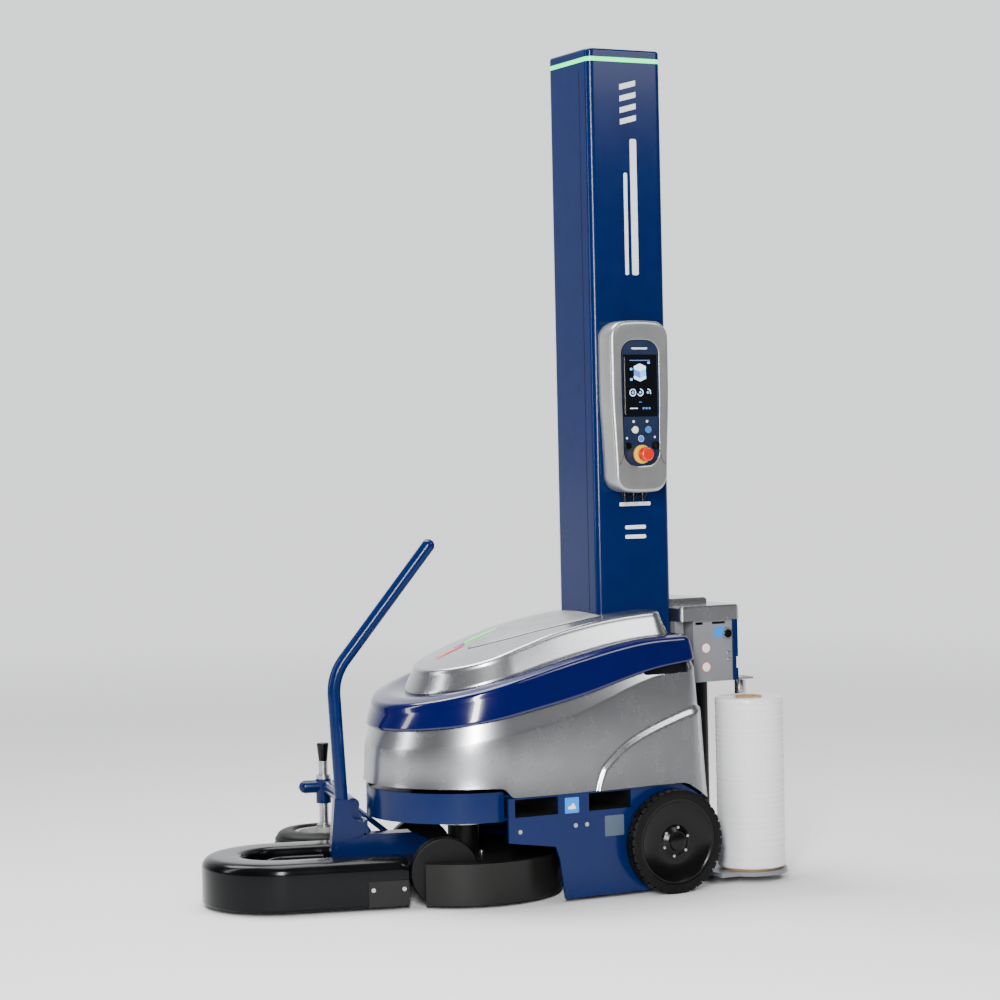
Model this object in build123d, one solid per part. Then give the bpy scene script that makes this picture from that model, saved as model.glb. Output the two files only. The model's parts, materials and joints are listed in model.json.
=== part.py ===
from build123d import *
import math
import os

# A battery-driven robot that drives round a standing pallet and wraps it in stretch film.
# Millimetres. While it is modelled, X runs from the front bumper to the film roll at the rear, Y to the
# machine's right (the side that faces the pallet), Z up from the floor, and the steering axis is X = Y = 0.
# The finished parts are then moved so that the origin is the middle of the footprint, on the floor.

# ------------------------------------------------------------------ driving dimensions
GAP = 0.3                  # running clearance between parts that move past each other
SEAT = 0.2                 # clearance between parts that are fastened together on curved faces

BODY_HALF = 322.0          # half the width of the lower hood at its hem
NOSE_CENTRE = 30.0         # centre of the rounded nose, behind the steering axis
REAR_X = 639.0             # rear face of the lower hood at its hem
HOOD_WALL = 4.0
HEM_Z = 308.0              # height of the lower hood's hem along the sides
ARCH_HEM_Z = 284.0         # the hem drops behind the rear wheels
REAR_HEM_Z = 256.0
HOOD_REF_RISE = 354.0      # height over which the lower hood leans in by the next three sizes
HOOD_LEAN = 29.0
NOSE_LEAN = 55.0
REAR_LEAN = 24.0
HOOD_CORNER = 62.0
HAND_SLOT_W = 144.0        # hand slots under the band, one each side
HAND_SLOT_Z = 622.0
HAND_SLOT_SETBACK = 15.0
BAND_PROUD = 10.0          # the blue band stands out past the hood's top edge
BAND_WALL = 4.0
COVER_HALF = 222.0         # upper cover
COVER_NOSE_CENTRE = 67.0
COVER_LEAN = 26.0
COVER_REAR_INSET = 44.0
COVER_CORNER = 70.0
COVER_WALL = 4.0
INLAY_HALF = 150.0
INLAY_DEPTH = 3.0

PLATE_TOP_Z = 312.0        # top of the chassis deck
PLATE_T = 6.0
SIDE_PLATE_T = 8.0
SIDE_PLATE_INSET = 5.0     # side plate's outer face inside the hood's hem
GROUND_GAP = 12.0
DRUM_R = 278.0             # curved front band of the chassis
DRUM_TOP_Z = 322.0
DRUM_BOTTOM_Z = 238.0
FORK_POCKET_W = 136.0      # clear width and height of the fork-lift pockets
FORK_POCKET_H = 50.0
FORK_POCKET_WALL = 4.0
FORK_FRONT_X = 74.0        # middle of the front pocket, and the spacing to the rear one
FORK_SPACING = 235.0

MAST_DEPTH = 248.0         # along X
MAST_WIDTH = 245.0         # along Y
MAST_WALL = 4.0
MAST_CORNER = 20.0
MAST_TOP_Z = 2405.0
MAST_PROUD = 3.5           # mast's rear face behind the hood
MAST_GAP = 1.5             # gap between the covers and the mast
BEACON_H = 13.0
CAP_H = 25.0
SLOT_HALF = 24.0           # half the width of the carriage slot in the mast's rear face

PANEL_W = 186.0
PANEL_H = 500.0
PANEL_DEPTH = 95.0
PANEL_BOTTOM_Z = 1143.0
PANEL_OFFSET = -24.5       # panel's middle ahead of the mast's middle
PANEL_WALL = 5.0
FACEPLATE_W = 122.0
FACEPLATE_H = 364.0
FACEPLATE_T = 4.0
SCREEN_W = 108.0
SCREEN_H = 180.0
BUTTON_R = 8.5
BUTTON_TRAVEL = 3.0
BUTTON_PITCH = 22.0
ESTOP_COLLAR_R = 27.0
ESTOP_COLLAR_T = 11.0
ESTOP_HEAD_R = 20.0
ESTOP_HEAD_T = 24.0
ESTOP_TRAVEL = 5.0

REAR_WHEEL_R = 148.0
REAR_WHEEL_W = 42.0
REAR_WHEEL_SETBACK = 138.0  # wheel centre ahead of the hood's rear
TYRE_DEPTH = 26.0
AXLE_R = 12.5
BEARING_R = 42.0
DRIVE_PULLEY_R = 60.0
MOTOR_PULLEY_R = 30.0
BELT_W = 25.0
BELT_T = 3.0
DRIVE_CENTRES = 165.0      # drive motor ahead of the wheel axis
DRIVE_MOTOR_R = 44.0
BATTERY = (180.0, 172.0, 200.0)

STEER_REST = 15.0          # the stored heading, turned towards the pallet
SKIRT_R = 280.0
SKIRT_WALL = 6.0
SKIRT_START_X = -155.0     # front end of the skirt
TURRET_TOP_Z = 125.0
TURRET_FLOOR_Z = 10.0
DECK_T = 8.0
COLUMN_R = 45.0
COLLAR_R = 60.0
SLEW_RING_R = 92.0
FRONT_WHEEL_R = 97.0
FRONT_WHEEL_W = 36.0
FRONT_WHEEL_LEAD = 96.0    # front axle ahead of the steering axis
FRONT_WHEEL_Y = 200.0
FRONT_AXLE_R = 10.0

BUMPER_HALF = 225.0
BUMPER_W = 115.0
BUMPER_TOP_Z = 142.0
BUMPER_NOSE_X = -530.0     # centre of the bumper's round nose
BUMPER_END_X = -200.0
BUMPER_ROUND = 26.0
PAN_TOP_Z = 92.0

TILLER_X = -370.0          # tiller's pivot
TILLER_PIVOT_Z = 147.0
TILLER_R = 19.0
TILLER_PIN_R = 8.0
STOP_X = -288.0            # the tiller's foot rests against this stop
TILLER_FOOT_W = 44.0
BRACKET_T = 8.0
ARM_X = -315.0             # feeler arm
ARM_Z = 263.0
ARM_R = 20.0
FEELER_X = -336.0
FEELER_Y = 480.0
FEELER_R = 152.0
FEELER_RIM_R = 92.0
FEELER_POST_R = 14.0
FEELER_LIFT = 50.0
FEELER_BOTTOM_Z = 48.0
FEELER_TYRE_H = 88.0

CARRIAGE_X = 652.0         # front face of the carriage's spine
SPINE_T = 30.0
SPINE_HALF = 120.0
HEAD_FRONT_X = 697.0       # carriage head: the housing above the rollers
HEAD_REAR_X = 848.0
HEAD_LEFT_Y = -150.0
HEAD_RIGHT_Y = 175.0
HEAD_BOTTOM_Z = 574.0
HEAD_TOP_Z = 756.0
HEAD_COVER_H = 44.0
BASE_Z = 20.0
BASE_T = 12.0
ROLL_X = 822.0
ROLL_Y = -250.0
ROLL_R = 100.0
ROLL_H = 500.0
CORE_R = 38.0
CORE_WALL = 14.0
SPINDLE_R = 23.5
TURNTABLE_T = 4.0
ROLLER_R = 40.0
ROLLER_X = 775.0
SLOW_ROLLER_Y = -20.0
GEAR_TEETH_SLOW = 40
GEAR_TEETH_FAST = 25
GEAR_MODULE = 2.6
IDLE_R = 17.5
IDLE_X = 876.0
IDLE_Y = -118.0
LIFT_TRAVEL = 1550.0
PULLEY_R = 30.0
LIFT_BELT_W = 24.0
LIFT_LOW_Z = 372.0         # axis of the lift drive pulley

# ------------------------------------------------------------------ sizes that follow
NOSE_X = NOSE_CENTRE - BODY_HALF
BODY_LENGTH = REAR_X - NOSE_X
PLATE_OUT = BODY_HALF - SIDE_PLATE_INSET
PLATE_IN = PLATE_OUT - SIDE_PLATE_T
PLATE_BOTTOM_Z = PLATE_TOP_Z - PLATE_T
FORK_CENTRES = (FORK_FRONT_X, FORK_FRONT_X + FORK_SPACING)
FORK_BASE_Z = PLATE_BOTTOM_Z - FORK_POCKET_H - 2 * FORK_POCKET_WALL
FORK_CEILING_Z = PLATE_BOTTOM_Z - FORK_POCKET_WALL
BELLY_Z = FORK_BASE_Z - PLATE_T
MAST_REAR = REAR_X + MAST_PROUD
MAST_FRONT = MAST_REAR - MAST_DEPTH
MAST_X = (MAST_FRONT + MAST_REAR) / 2
MAST_SIDE = MAST_WIDTH / 2
PANEL_X = MAST_X + PANEL_OFFSET
PANEL_BACK_Y = -MAST_SIDE
PANEL_FACE_Y = PANEL_BACK_Y - PANEL_DEPTH
PANEL_TOP_Z = PANEL_BOTTOM_Z + PANEL_H
FACE_BOTTOM_Z = PANEL_BOTTOM_Z + 78
FACE_TOP_Z = FACE_BOTTOM_Z + FACEPLATE_H
SCREEN_TOP_Z = FACE_TOP_Z - 42
BUTTON_ROW_Z = FACE_BOTTOM_Z + 104
KEY_ROW_Z = FACE_BOTTOM_Z + 58
KEY_PITCH = FACEPLATE_W / 2 - 15
ESTOP_Z = FACE_BOTTOM_Z + 33
WHEEL_X = REAR_X - REAR_WHEEL_SETBACK
WHEEL_IN_Y = BODY_HALF + 3
MOTOR_X = WHEEL_X - DRIVE_CENTRES
DRIVE_BELT_Y = -(PLATE_IN - 38)
DRUM_WALL = PLATE_T
TRAY_X = max(SKIRT_R, DRUM_R) + 12
LIFT_HIGH_Z = MAST_TOP_Z - 60
LIFT_X = MAST_X + 15
ARM_TOP = ARM_Z + ARM_R
SPINE_BACK = CARRIAGE_X + SPINE_T
BASE_TOP_Z = BASE_Z + BASE_T
CORE_BOTTOM_Z = BASE_TOP_Z + GAP + TURNTABLE_T
ROLL_TOP_Z = CORE_BOTTOM_Z + ROLL_H
GEAR_SLOW_R = GEAR_MODULE * GEAR_TEETH_SLOW / 2
GEAR_FAST_R = GEAR_MODULE * GEAR_TEETH_FAST / 2
FAST_ROLLER_Y = SLOW_ROLLER_Y + max(GEAR_SLOW_R + GEAR_FAST_R, 2 * ROLLER_R + 3)
FEELER_TOP_Z = FEELER_BOTTOM_Z + FEELER_TYRE_H
DECK_FRONT_X = BUMPER_END_X + 6

ON_BASE = (Align.CENTER, Align.CENTER, Align.MIN)


# ------------------------------------------------------------------ helpers
def block(x0, x1, y0, y1, z0, z1):
    """A box between two corners."""
    middle = Pos((x0 + x1) / 2, (y0 + y1) / 2, (z0 + z1) / 2)
    return middle * Box(x1 - x0, y1 - y0, z1 - z0)


def upright(radius, z0, z1, x=0.0, y=0.0):
    """A vertical round bar."""
    return Pos(x, y, z0) * Cylinder(radius, z1 - z0, align=ON_BASE)


def ring(outer, inner, z0, z1, x=0.0, y=0.0):
    """A vertical sleeve."""
    return upright(outer, z0, z1, x, y) - upright(inner, z0 - 1, z1 + 1, x, y)


def bar(radius, start, end):
    """A round bar between two points."""
    length = (Vector(*end) - Vector(*start)).length
    return Plane(origin=start, z_dir=Vector(*end) - Vector(*start)) * Cylinder(radius, length, align=ON_BASE)


def across(radius, x, z, y0, y1):
    """A round bar across the machine, from y0 to y1."""
    return bar(radius, (x, min(y0, y1), z), (x, max(y0, y1), z))


def side_shape(outline, y0, y1):
    """An (x, z) outline given thickness from y0 to y1."""
    return extrude(Pos(0, y1, 0) * (Plane.XZ * outline), y1 - y0)


def polygon(*points):
    """A flat face with straight edges."""
    return make_face(Polyline(*points, close=True))


def both_sides(shape):
    """A piece and its mirror image on the machine's other side."""
    return [shape, mirror(shape, Plane.XZ)]


def steered(shape):
    """Turns a piece of the front turret to its stored heading."""
    return Rot(0, 0, -STEER_REST) * shape


def hood_plan(half, nose_centre, rear, corner, z):
    """A cover's outline from above: a half-round nose, straight sides and rounded rear corners."""
    edges = [
        CenterArc((nose_centre, 0), half, 90, 180),
        Line((nose_centre, -half), (rear - corner, -half)),
        CenterArc((rear - corner, corner - half), corner, -90, 90),
        Line((rear, corner - half), (rear, half - corner)),
        CenterArc((rear - corner, half - corner), corner, 0, 90),
        Line((rear - corner, half), (nose_centre, half)),
    ]
    return Pos(0, 0, z) * make_face(edges)


def hood_section(z, inset):
    """The lower hood's outline at a height, moved in by an inset."""
    lean = (z - HEM_Z) / HOOD_REF_RISE
    half = BODY_HALF - HOOD_LEAN * lean - inset
    nose = NOSE_X + NOSE_LEAN * lean + inset
    return hood_plan(half, nose + half, REAR_X - REAR_LEAN * lean - inset, HOOD_CORNER - inset, z)


def hood_body(z0, z1, inset):
    """The lower hood's leaning body as a solid."""
    return loft([hood_section(z0, inset), hood_section(z1, inset)])


def hood_line(*points):
    """A line along the covers: points are (share of the body's length from the nose, height)."""
    return Spline(*[(NOSE_X + share * BODY_LENGTH, z) for share, z in points])


def under(line, drop=0.0):
    """The space under a line along the covers, right across the machine."""
    start, end = line @ 0, line @ 1
    border = Polyline(end, (end.X, 0), (start.X, 0), start)
    reach = 2 * BODY_HALF
    return Pos(0, 0, -drop) * extrude(Plane.XZ * make_face([line, border]), reach, both=True)


SEAM_LINE = hood_line(
    (-0.08, 486), (0.018, 493), (0.165, 511), (0.36, 541), (0.555, 577), (0.797, 635), (0.958, 655), (1.1, 661))
BAND_LINE = hood_line(
    (-0.08, 540), (0.036, 562), (0.165, 592), (0.36, 637), (0.566, 683), (0.778, 719), (0.962, 727), (1.1, 728))
COVER_LINE = hood_line(
    (-0.05, 590), (0.147, 646), (0.288, 678), (0.42, 718), (0.543, 752), (0.717, 781), (0.899, 795), (1.1, 799))


# ------------------------------------------------------------------ chassis
def make_chassis_frame():
    """Deck and belly plates joined by the curved front band, webs, battery tray and rear wall."""
    deck = upright(DRUM_R, PLATE_BOTTOM_Z, PLATE_TOP_Z)
    deck += block(0, REAR_X - 8, -PLATE_IN, PLATE_IN, PLATE_BOTTOM_Z, PLATE_TOP_Z)
    deck += block(NOSE_CENTRE, REAR_X - 8, -PLATE_OUT, PLATE_OUT, PLATE_BOTTOM_Z, PLATE_TOP_Z)
    belly = upright(DRUM_R, BELLY_Z, FORK_BASE_Z)
    pocket_rear = FORK_CENTRES[1] + FORK_POCKET_W / 2 + FORK_POCKET_WALL + 12
    belly += block(0, pocket_rear, -PLATE_IN, PLATE_IN, BELLY_Z, FORK_BASE_Z)
    band = ring(DRUM_R, DRUM_R - DRUM_WALL, DRUM_BOTTOM_Z, DRUM_TOP_Z)
    band &= block(-2 * DRUM_R, -SIDE_PLATE_T, -2 * DRUM_R, 2 * DRUM_R, 0, 2 * DRUM_TOP_Z)
    web = block(pocket_rear - PLATE_T, pocket_rear, -PLATE_IN, PLATE_IN, FORK_BASE_Z, PLATE_BOTTOM_Z)
    rear_wall = block(REAR_X - 14, REAR_X - 8, -PLATE_IN, PLATE_IN, 60, PLATE_BOTTOM_Z)
    tray = block(TRAY_X, REAR_X - 8, -PLATE_IN, PLATE_IN, 60, 60 + PLATE_T)
    foot = block(MAST_FRONT - 20, REAR_X - 8, -MAST_SIDE - 30, MAST_SIDE + 30, PLATE_TOP_Z, PLATE_TOP_Z + 10)
    foot -= block(MAST_FRONT + 30, MAST_REAR - 30, -MAST_SIDE + 30, MAST_SIDE - 30, 0, 2 * PLATE_TOP_Z)
    frame = deck + belly + band + web + rear_wall + tray + foot
    # everything under the hood keeps inside its rounded rear corners
    room = Pos(0, 0, -HEM_Z) * extrude(hood_section(HEM_Z, HOOD_WALL + 3), 2 * PLATE_TOP_Z)
    frame &= room + block(
        -2 * DRUM_R, REAR_X - HOOD_CORNER - 6, -BODY_HALF, BODY_HALF, 0, 2 * PLATE_TOP_Z)
    # tabs that hold the hood's hem
    hood_in = BODY_HALF - HOOD_WALL - GAP - 0.4
    for x in (NOSE_CENTRE, WHEEL_X - 90):
        frame += block(x, x + 40, -hood_in, hood_in, PLATE_BOTTOM_Z + 2, PLATE_TOP_Z)
    return frame


def make_side_plate(side):
    """The side plate that covers the running gear; its front is cut away for the turret."""
    rear = REAR_X - 8
    outline = polygon(
        (-14, PLATE_BOTTOM_Z), (-14, 183), (133, 161), (145, 127), (161, GROUND_GAP),
        (WHEEL_X + 70, GROUND_GAP), (rear, 120), (rear, REAR_HEM_Z - 3), (WHEEL_X + 118, REAR_HEM_Z + 1),
        (WHEEL_X + 89, ARCH_HEM_Z - 3), (WHEEL_X + 44, PLATE_BOTTOM_Z))
    plate = side_shape(outline, PLATE_IN, PLATE_OUT)
    for x in FORK_CENTRES:
        plate -= block(x - FORK_POCKET_W / 2, x + FORK_POCKET_W / 2, 0, 2 * BODY_HALF,
                       FORK_BASE_Z + FORK_POCKET_WALL, FORK_CEILING_Z)
    plate -= across(BEARING_R * 0.55, WHEEL_X, REAR_WHEEL_R, 0, 2 * BODY_HALF)
    return plate if side > 0 else mirror(plate, Plane.XZ)


def make_fork_pockets():
    """Two square tubes right across the chassis, between the side plates."""
    pockets = []
    for x in FORK_CENTRES:
        half = FORK_POCKET_W / 2
        tube = block(x - half - FORK_POCKET_WALL, x + half + FORK_POCKET_WALL, -PLATE_IN, PLATE_IN,
                     FORK_BASE_Z, PLATE_BOTTOM_Z)
        tube -= block(x - half, x + half, -PLATE_IN - 1, PLATE_IN + 1,
                      FORK_BASE_Z + FORK_POCKET_WALL, FORK_CEILING_Z)
        pockets.append(tube)
    return pockets


def make_slewing_ring():
    """The bearing under the belly plate that traps the turret's collar."""
    housing = ring(SLEW_RING_R, COLUMN_R + GAP, BELLY_Z - 34, BELLY_Z)
    return housing - upright(COLLAR_R + GAP, BELLY_Z - 24, BELLY_Z - 10)


def make_lower_hood():
    """The silver skirt hood; its hem drops behind the rear wheels and has a hand slot under the band."""
    low, high = HEM_Z - 70, HEM_Z + HOOD_REF_RISE
    shell = hood_body(low, high, 0) - hood_body(low - 1, high + 1, HOOD_WALL)
    shell &= under(SEAM_LINE)
    nose_hem, front = HEM_Z + 28, NOSE_X - 50
    hem = Polyline(
        (front, nose_hem), (-30, nose_hem), (-6, HEM_Z), (WHEEL_X + 44, HEM_Z + 2), (WHEEL_X + 89, ARCH_HEM_Z),
        (WHEEL_X + 118, REAR_HEM_Z + 4), (REAR_X + 50, REAR_HEM_Z), (REAR_X + 50, 0), (front, 0), close=True)
    shell -= side_shape(make_face(hem), -2 * BODY_HALF, 2 * BODY_HALF)
    slot_x = WHEEL_X + HAND_SLOT_SETBACK
    shell -= block(slot_x - HAND_SLOT_W / 2, slot_x + HAND_SLOT_W / 2, -BODY_HALF - 20, BODY_HALF + 20,
                   HAND_SLOT_Z, 2 * HAND_SLOT_Z)
    return shell - mast_space()


def mast_space():
    """The room that the covers leave for the mast, open at the rear."""
    return block(MAST_FRONT - MAST_GAP, REAR_X + 60, -MAST_SIDE - MAST_GAP, MAST_SIDE + MAST_GAP, 0, 900)


def make_band_cover():
    """The blue band: a wall that stands proud of the hood, and the ledge that carries the upper cover."""
    top_inset = HOOD_LEAN - BAND_PROUD
    low, high = HEM_Z + 150, HEM_Z + 440

    def body(inset):
        base = BODY_HALF - top_inset - inset
        lean = 22.0
        plans = []
        for z, lean_in in ((low, 0), (high, lean)):
            half = base - lean_in
            plans.append(hood_plan(half, NOSE_X + top_inset - 9 + inset + 1.6 * lean_in + half,
                                   REAR_X - 13 - inset - lean_in / 2, HOOD_CORNER - inset, z))
        return loft(plans)

    outer = body(0) & under(BAND_LINE)
    inner = body(BAND_WALL) & under(BAND_LINE, BAND_WALL)
    return outer - under(SEAM_LINE) - inner - mast_space()


def cover_body(inset):
    """The upper cover's leaning body."""
    low, high = HEM_Z + 200, HEM_Z + 520
    plans = []
    for z, lean in ((low, 0), (high, COVER_LEAN)):
        half = COVER_HALF - inset - lean
        plans.append(hood_plan(half, COVER_NOSE_CENTRE + lean * 0.4, REAR_X - COVER_REAR_INSET - inset - lean,
                               COVER_CORNER - inset, z))
    return loft(plans)


def inlay_space(inset):
    """The grey inlay's outline on top of the upper cover, as a tall prism."""
    half = INLAY_HALF - inset
    front = NOSE_X + 0.29 * BODY_LENGTH + inset
    rear = MAST_FRONT - MAST_GAP - inset
    outline = polygon((front + 40, -half), (rear, -half), (rear, half), (front + 40, half), (front, 0))
    return Pos(0, 0, 500) * extrude(outline, 500)


def make_upper_cover():
    """The silver top cover, with a shallow recess for the inlay."""
    outer = cover_body(0) & under(COVER_LINE)
    inner = cover_body(COVER_WALL) & under(COVER_LINE, COVER_WALL + INLAY_DEPTH)
    recess = inlay_space(0) - under(COVER_LINE, INLAY_DEPTH)
    return outer - under(BAND_LINE) - inner - recess - mast_space()


def make_top_inlay():
    """The dark inlay that fills the recess."""
    skin = under(COVER_LINE) - under(COVER_LINE, INLAY_DEPTH)
    inlay = (skin & inlay_space(1)) - mast_space()
    for strip in light_spaces(0.5):
        inlay -= strip
    return inlay


def light_spaces(grow):
    """Tall prisms where the three status lights pass through the inlay."""
    spaces = []
    for x0, x1, y in ((0.375, 0.498, -98), (0.33, 0.36, -49), (0.375, 0.42, -60)):
        x0, x1 = NOSE_X + x0 * BODY_LENGTH, NOSE_X + x1 * BODY_LENGTH
        spaces.append(block(x0 - grow, x1 + grow, -y - 9 - grow, -y + 9 + grow, 500, 1000))
    return spaces


def make_status_lights():
    """Three flush light strips."""
    skin = under(COVER_LINE) - under(COVER_LINE, INLAY_DEPTH)
    return [skin & space & inlay_space(1) for space in light_spaces(0)]


# ------------------------------------------------------------------ mast
def mast_plan(inset, z, height):
    """The mast's rounded rectangular section as a prism."""
    plan = RectangleRounded(MAST_DEPTH - 2 * inset, MAST_WIDTH - 2 * inset, MAST_CORNER - inset)
    return Pos(MAST_X, 0, z) * extrude(plan, height)


def make_mast_column():
    """The box column; a slot down its rear face lets the carriage's tongue through."""
    base_z = PLATE_TOP_Z + 10
    column = mast_plan(0, base_z, MAST_TOP_Z - base_z) - mast_plan(MAST_WALL, 0, 2 * MAST_TOP_Z)
    slot = block(MAST_REAR - 20, MAST_REAR + 20, -SLOT_HALF, SLOT_HALF, base_z + 30, MAST_TOP_Z - 40)
    return column - slot


def make_beacon_ring():
    """The light ring between the column and its cap."""
    return mast_plan(1, MAST_TOP_Z, BEACON_H) - mast_plan(MAST_WALL + 6, 0, 2 * MAST_TOP_Z)


def make_mast_cap():
    """The cap, with softened top edges."""
    cap = mast_plan(0, MAST_TOP_Z + BEACON_H, CAP_H)
    return fillet(cap.faces().sort_by(Axis.Z)[-1].edges(), 8)


def pulley(x, z):
    """A flanged belt pulley on its own shaft across the mast."""
    half = LIFT_BELT_W / 2
    wheel = across(PULLEY_R, x, z, -half - 1, half + 1)
    wheel += across(PULLEY_R + 5, x, z, half + 1, half + 4)
    wheel += across(PULLEY_R + 5, x, z, -half - 4, -half - 1)
    return wheel + across(8, x, z, -half - 22, half + 22)


def make_lift_gearmotor():
    """The gearmotor inside the foot of the mast, and the shaft supports at both ends of the belt."""
    y0 = LIFT_BELT_W / 2 + 10
    wall = MAST_SIDE - MAST_WALL - 0.2
    motor = block(LIFT_X - 45, LIFT_X + 38, y0, wall, LIFT_LOW_Z - 36, LIFT_LOW_Z + 40)
    motor += upright(36, LIFT_LOW_Z + 39, LIFT_LOW_Z + 190, LIFT_X - 10, (y0 + wall) / 2)
    plate = block(LIFT_X - 20, LIFT_X + 20, -wall, -y0, LIFT_LOW_Z - 20, LIFT_LOW_Z + 20)
    top = block(LIFT_X - 20, LIFT_X + 20, y0, wall, LIFT_HIGH_Z - 20, LIFT_HIGH_Z + 20)
    other = mirror(top, Plane.XZ)
    bore = [across(8 + GAP, LIFT_X, z, -y0 - 13, y0 + 13) for z in (LIFT_LOW_Z, LIFT_HIGH_Z)]
    return [motor - bore[0], plate - bore[0], top - bore[1], other - bore[1]]


def belt_loop(ends, width, y, thickness):
    """A flat belt round two pulleys: ends are (x, z, radius)."""
    def disc(end, extra):
        x, z, radius = end
        return across(radius + extra, x, z, y - width / 2, y + width / 2)

    def wrap(extra):
        (xa, za, ra), (xb, zb, rb) = ends
        ra, rb = ra + extra, rb + extra
        along = math.atan2(zb - za, xb - xa)
        tilt = math.acos((ra - rb) / math.hypot(xb - xa, zb - za))
        corners = []
        for turn, (x, z, r) in ((tilt, (xa, za, ra)), (tilt, (xb, zb, rb)),
                                (-tilt, (xb, zb, rb)), (-tilt, (xa, za, ra))):
            corners.append((x + r * math.cos(along + turn), z + r * math.sin(along + turn)))
        return side_shape(polygon(*corners), y - width / 2, y + width / 2)

    outer = wrap(thickness) + disc(ends[0], thickness) + disc(ends[1], thickness)
    return outer - (wrap(SEAT) + disc(ends[0], SEAT) + disc(ends[1], SEAT))


def make_lift_belt():
    """The toothed belt that lifts the carriage."""
    ends = ((LIFT_X, LIFT_LOW_Z, PULLEY_R), (LIFT_X, LIFT_HIGH_Z, PULLEY_R))
    return belt_loop(ends, LIFT_BELT_W, 0, 2.5)


# ------------------------------------------------------------------ operator panel
def panel_outline(inset):
    """The panel's outline on the mast's side: waisted sides, arched top and bottom."""
    def side(sign):
        points = ((0.985, 0.07), (1.0, 0.2), (0.94, 0.55), (0.9, 0.86))
        half = PANEL_W / 2
        return [(PANEL_X + sign * (half * w - inset), PANEL_BOTTOM_Z + PANEL_H * h) for w, h in points]

    right, left = side(1), side(-1)
    middle = PANEL_X
    top, bottom = PANEL_TOP_Z - inset, PANEL_BOTTOM_Z + inset
    inner = PANEL_W * 0.34
    edges = [
        Spline(*right),
        Spline(right[-1], (middle + inner, top - 14), (middle, top), (middle - inner, top - 14), left[-1]),
        Spline(*reversed(left)),
        Spline(left[0], (middle - inner, bottom + 5), (middle, bottom), (middle + inner, bottom + 5), right[0]),
    ]
    return make_face(edges)


def face_outline(width, z0, z1, arch):
    """A plate's outline with an arched top and bottom."""
    half = width / 2
    top = ThreePointArc((PANEL_X + half, z1 - arch), (PANEL_X, z1), (PANEL_X - half, z1 - arch))
    bottom = ThreePointArc((PANEL_X - half, z0 + arch), (PANEL_X, z0), (PANEL_X + half, z0 + arch))
    return make_face([top, Line(top @ 1, bottom @ 0), bottom, Line(bottom @ 1, top @ 0)])


def plate_at(outline, front_y, thickness):
    """An outline on the panel's face, from its front going back into the panel."""
    return side_shape(outline, front_y, front_y + thickness)


PANEL_HOLES = (
    ("white", -BUTTON_PITCH, BUTTON_ROW_Z, BUTTON_R), ("blue", BUTTON_PITCH, BUTTON_ROW_Z, BUTTON_R),
    ("black", -KEY_PITCH, KEY_ROW_Z, BUTTON_R), ("key", KEY_PITCH, KEY_ROW_Z, BUTTON_R),
    ("estop", 0.0, ESTOP_Z, 11.0))


def panel_hole(name, extra, y0, y1):
    """A round prism on the axis of one of the panel's controls."""
    for hole, dx, z, radius in PANEL_HOLES:
        if hole == name:
            return across(radius + extra, PANEL_X + dx, z, y0, y1)


def make_panel_housing():
    """The hollow silver housing, open towards the mast, with a recess for the faceplate."""
    front = PANEL_WALL + FACEPLATE_T
    body = plate_at(panel_outline(0), PANEL_FACE_Y, PANEL_DEPTH)
    rim = body.faces().sort_by(Axis.Y)[0].edges()
    body = fillet(rim, 9)
    body -= plate_at(panel_outline(PANEL_WALL), PANEL_FACE_Y + front, PANEL_DEPTH)
    body -= plate_at(face_outline(FACEPLATE_W, FACE_BOTTOM_Z, FACE_TOP_Z, 14), PANEL_FACE_Y - 1, FACEPLATE_T + 1)
    for name, *_ in PANEL_HOLES:
        body -= panel_hole(name, GAP, PANEL_FACE_Y - 5, PANEL_FACE_Y + 40)
    return body


def screen_outline(inset):
    """The screen's outline."""
    half = SCREEN_W / 2 - inset
    low = SCREEN_TOP_Z - SCREEN_H + inset
    return polygon((PANEL_X - half, low), (PANEL_X + half, low), (PANEL_X + half, SCREEN_TOP_Z - inset),
                   (PANEL_X - half, SCREEN_TOP_Z - inset))


def make_faceplate():
    """The dark faceplate with a window for the screen and holes for the controls."""
    plate = plate_at(face_outline(FACEPLATE_W - 2 * SEAT, FACE_BOTTOM_Z + SEAT, FACE_TOP_Z - SEAT, 14),
                     PANEL_FACE_Y, FACEPLATE_T)
    plate -= plate_at(screen_outline(0), PANEL_FACE_Y - 1, FACEPLATE_T + 2)
    for name, *_ in PANEL_HOLES:
        plate -= panel_hole(name, GAP, PANEL_FACE_Y - 5, PANEL_FACE_Y + 40)
    return plate


def make_button(name, proud):
    """A push button: a plunger in its hole and a wider head in front of the faceplate."""
    head_y = PANEL_FACE_Y - BUTTON_TRAVEL - 0.5
    plunger = panel_hole(name, 0, head_y, PANEL_FACE_Y + PANEL_WALL + FACEPLATE_T + 12)
    head = panel_hole(name, 2, head_y - proud, head_y)
    return chamfer(head.faces().sort_by(Axis.Y)[0].edges(), 1) + plunger


def make_key_switch():
    """A turning key switch with its key bar."""
    head_y = PANEL_FACE_Y - GAP
    switch = panel_hole("key", 0, head_y, PANEL_FACE_Y + PANEL_WALL + FACEPLATE_T + 12)
    switch += panel_hole("key", 3, head_y - 6, head_y)
    x = PANEL_X + KEY_PITCH
    return switch + block(x - 2.5, x + 2.5, head_y - 18, head_y - 6, KEY_ROW_Z - 8, KEY_ROW_Z + 8)


def make_estop_collar():
    """The yellow collar behind the emergency-stop knob."""
    front = PANEL_FACE_Y - ESTOP_COLLAR_T
    collar = across(ESTOP_COLLAR_R, PANEL_X, ESTOP_Z, front, PANEL_FACE_Y)
    collar = chamfer(collar.faces().sort_by(Axis.Y)[0].edges(), 5)
    return collar - panel_hole("estop", GAP, front - 1, PANEL_FACE_Y + 5)


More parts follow.
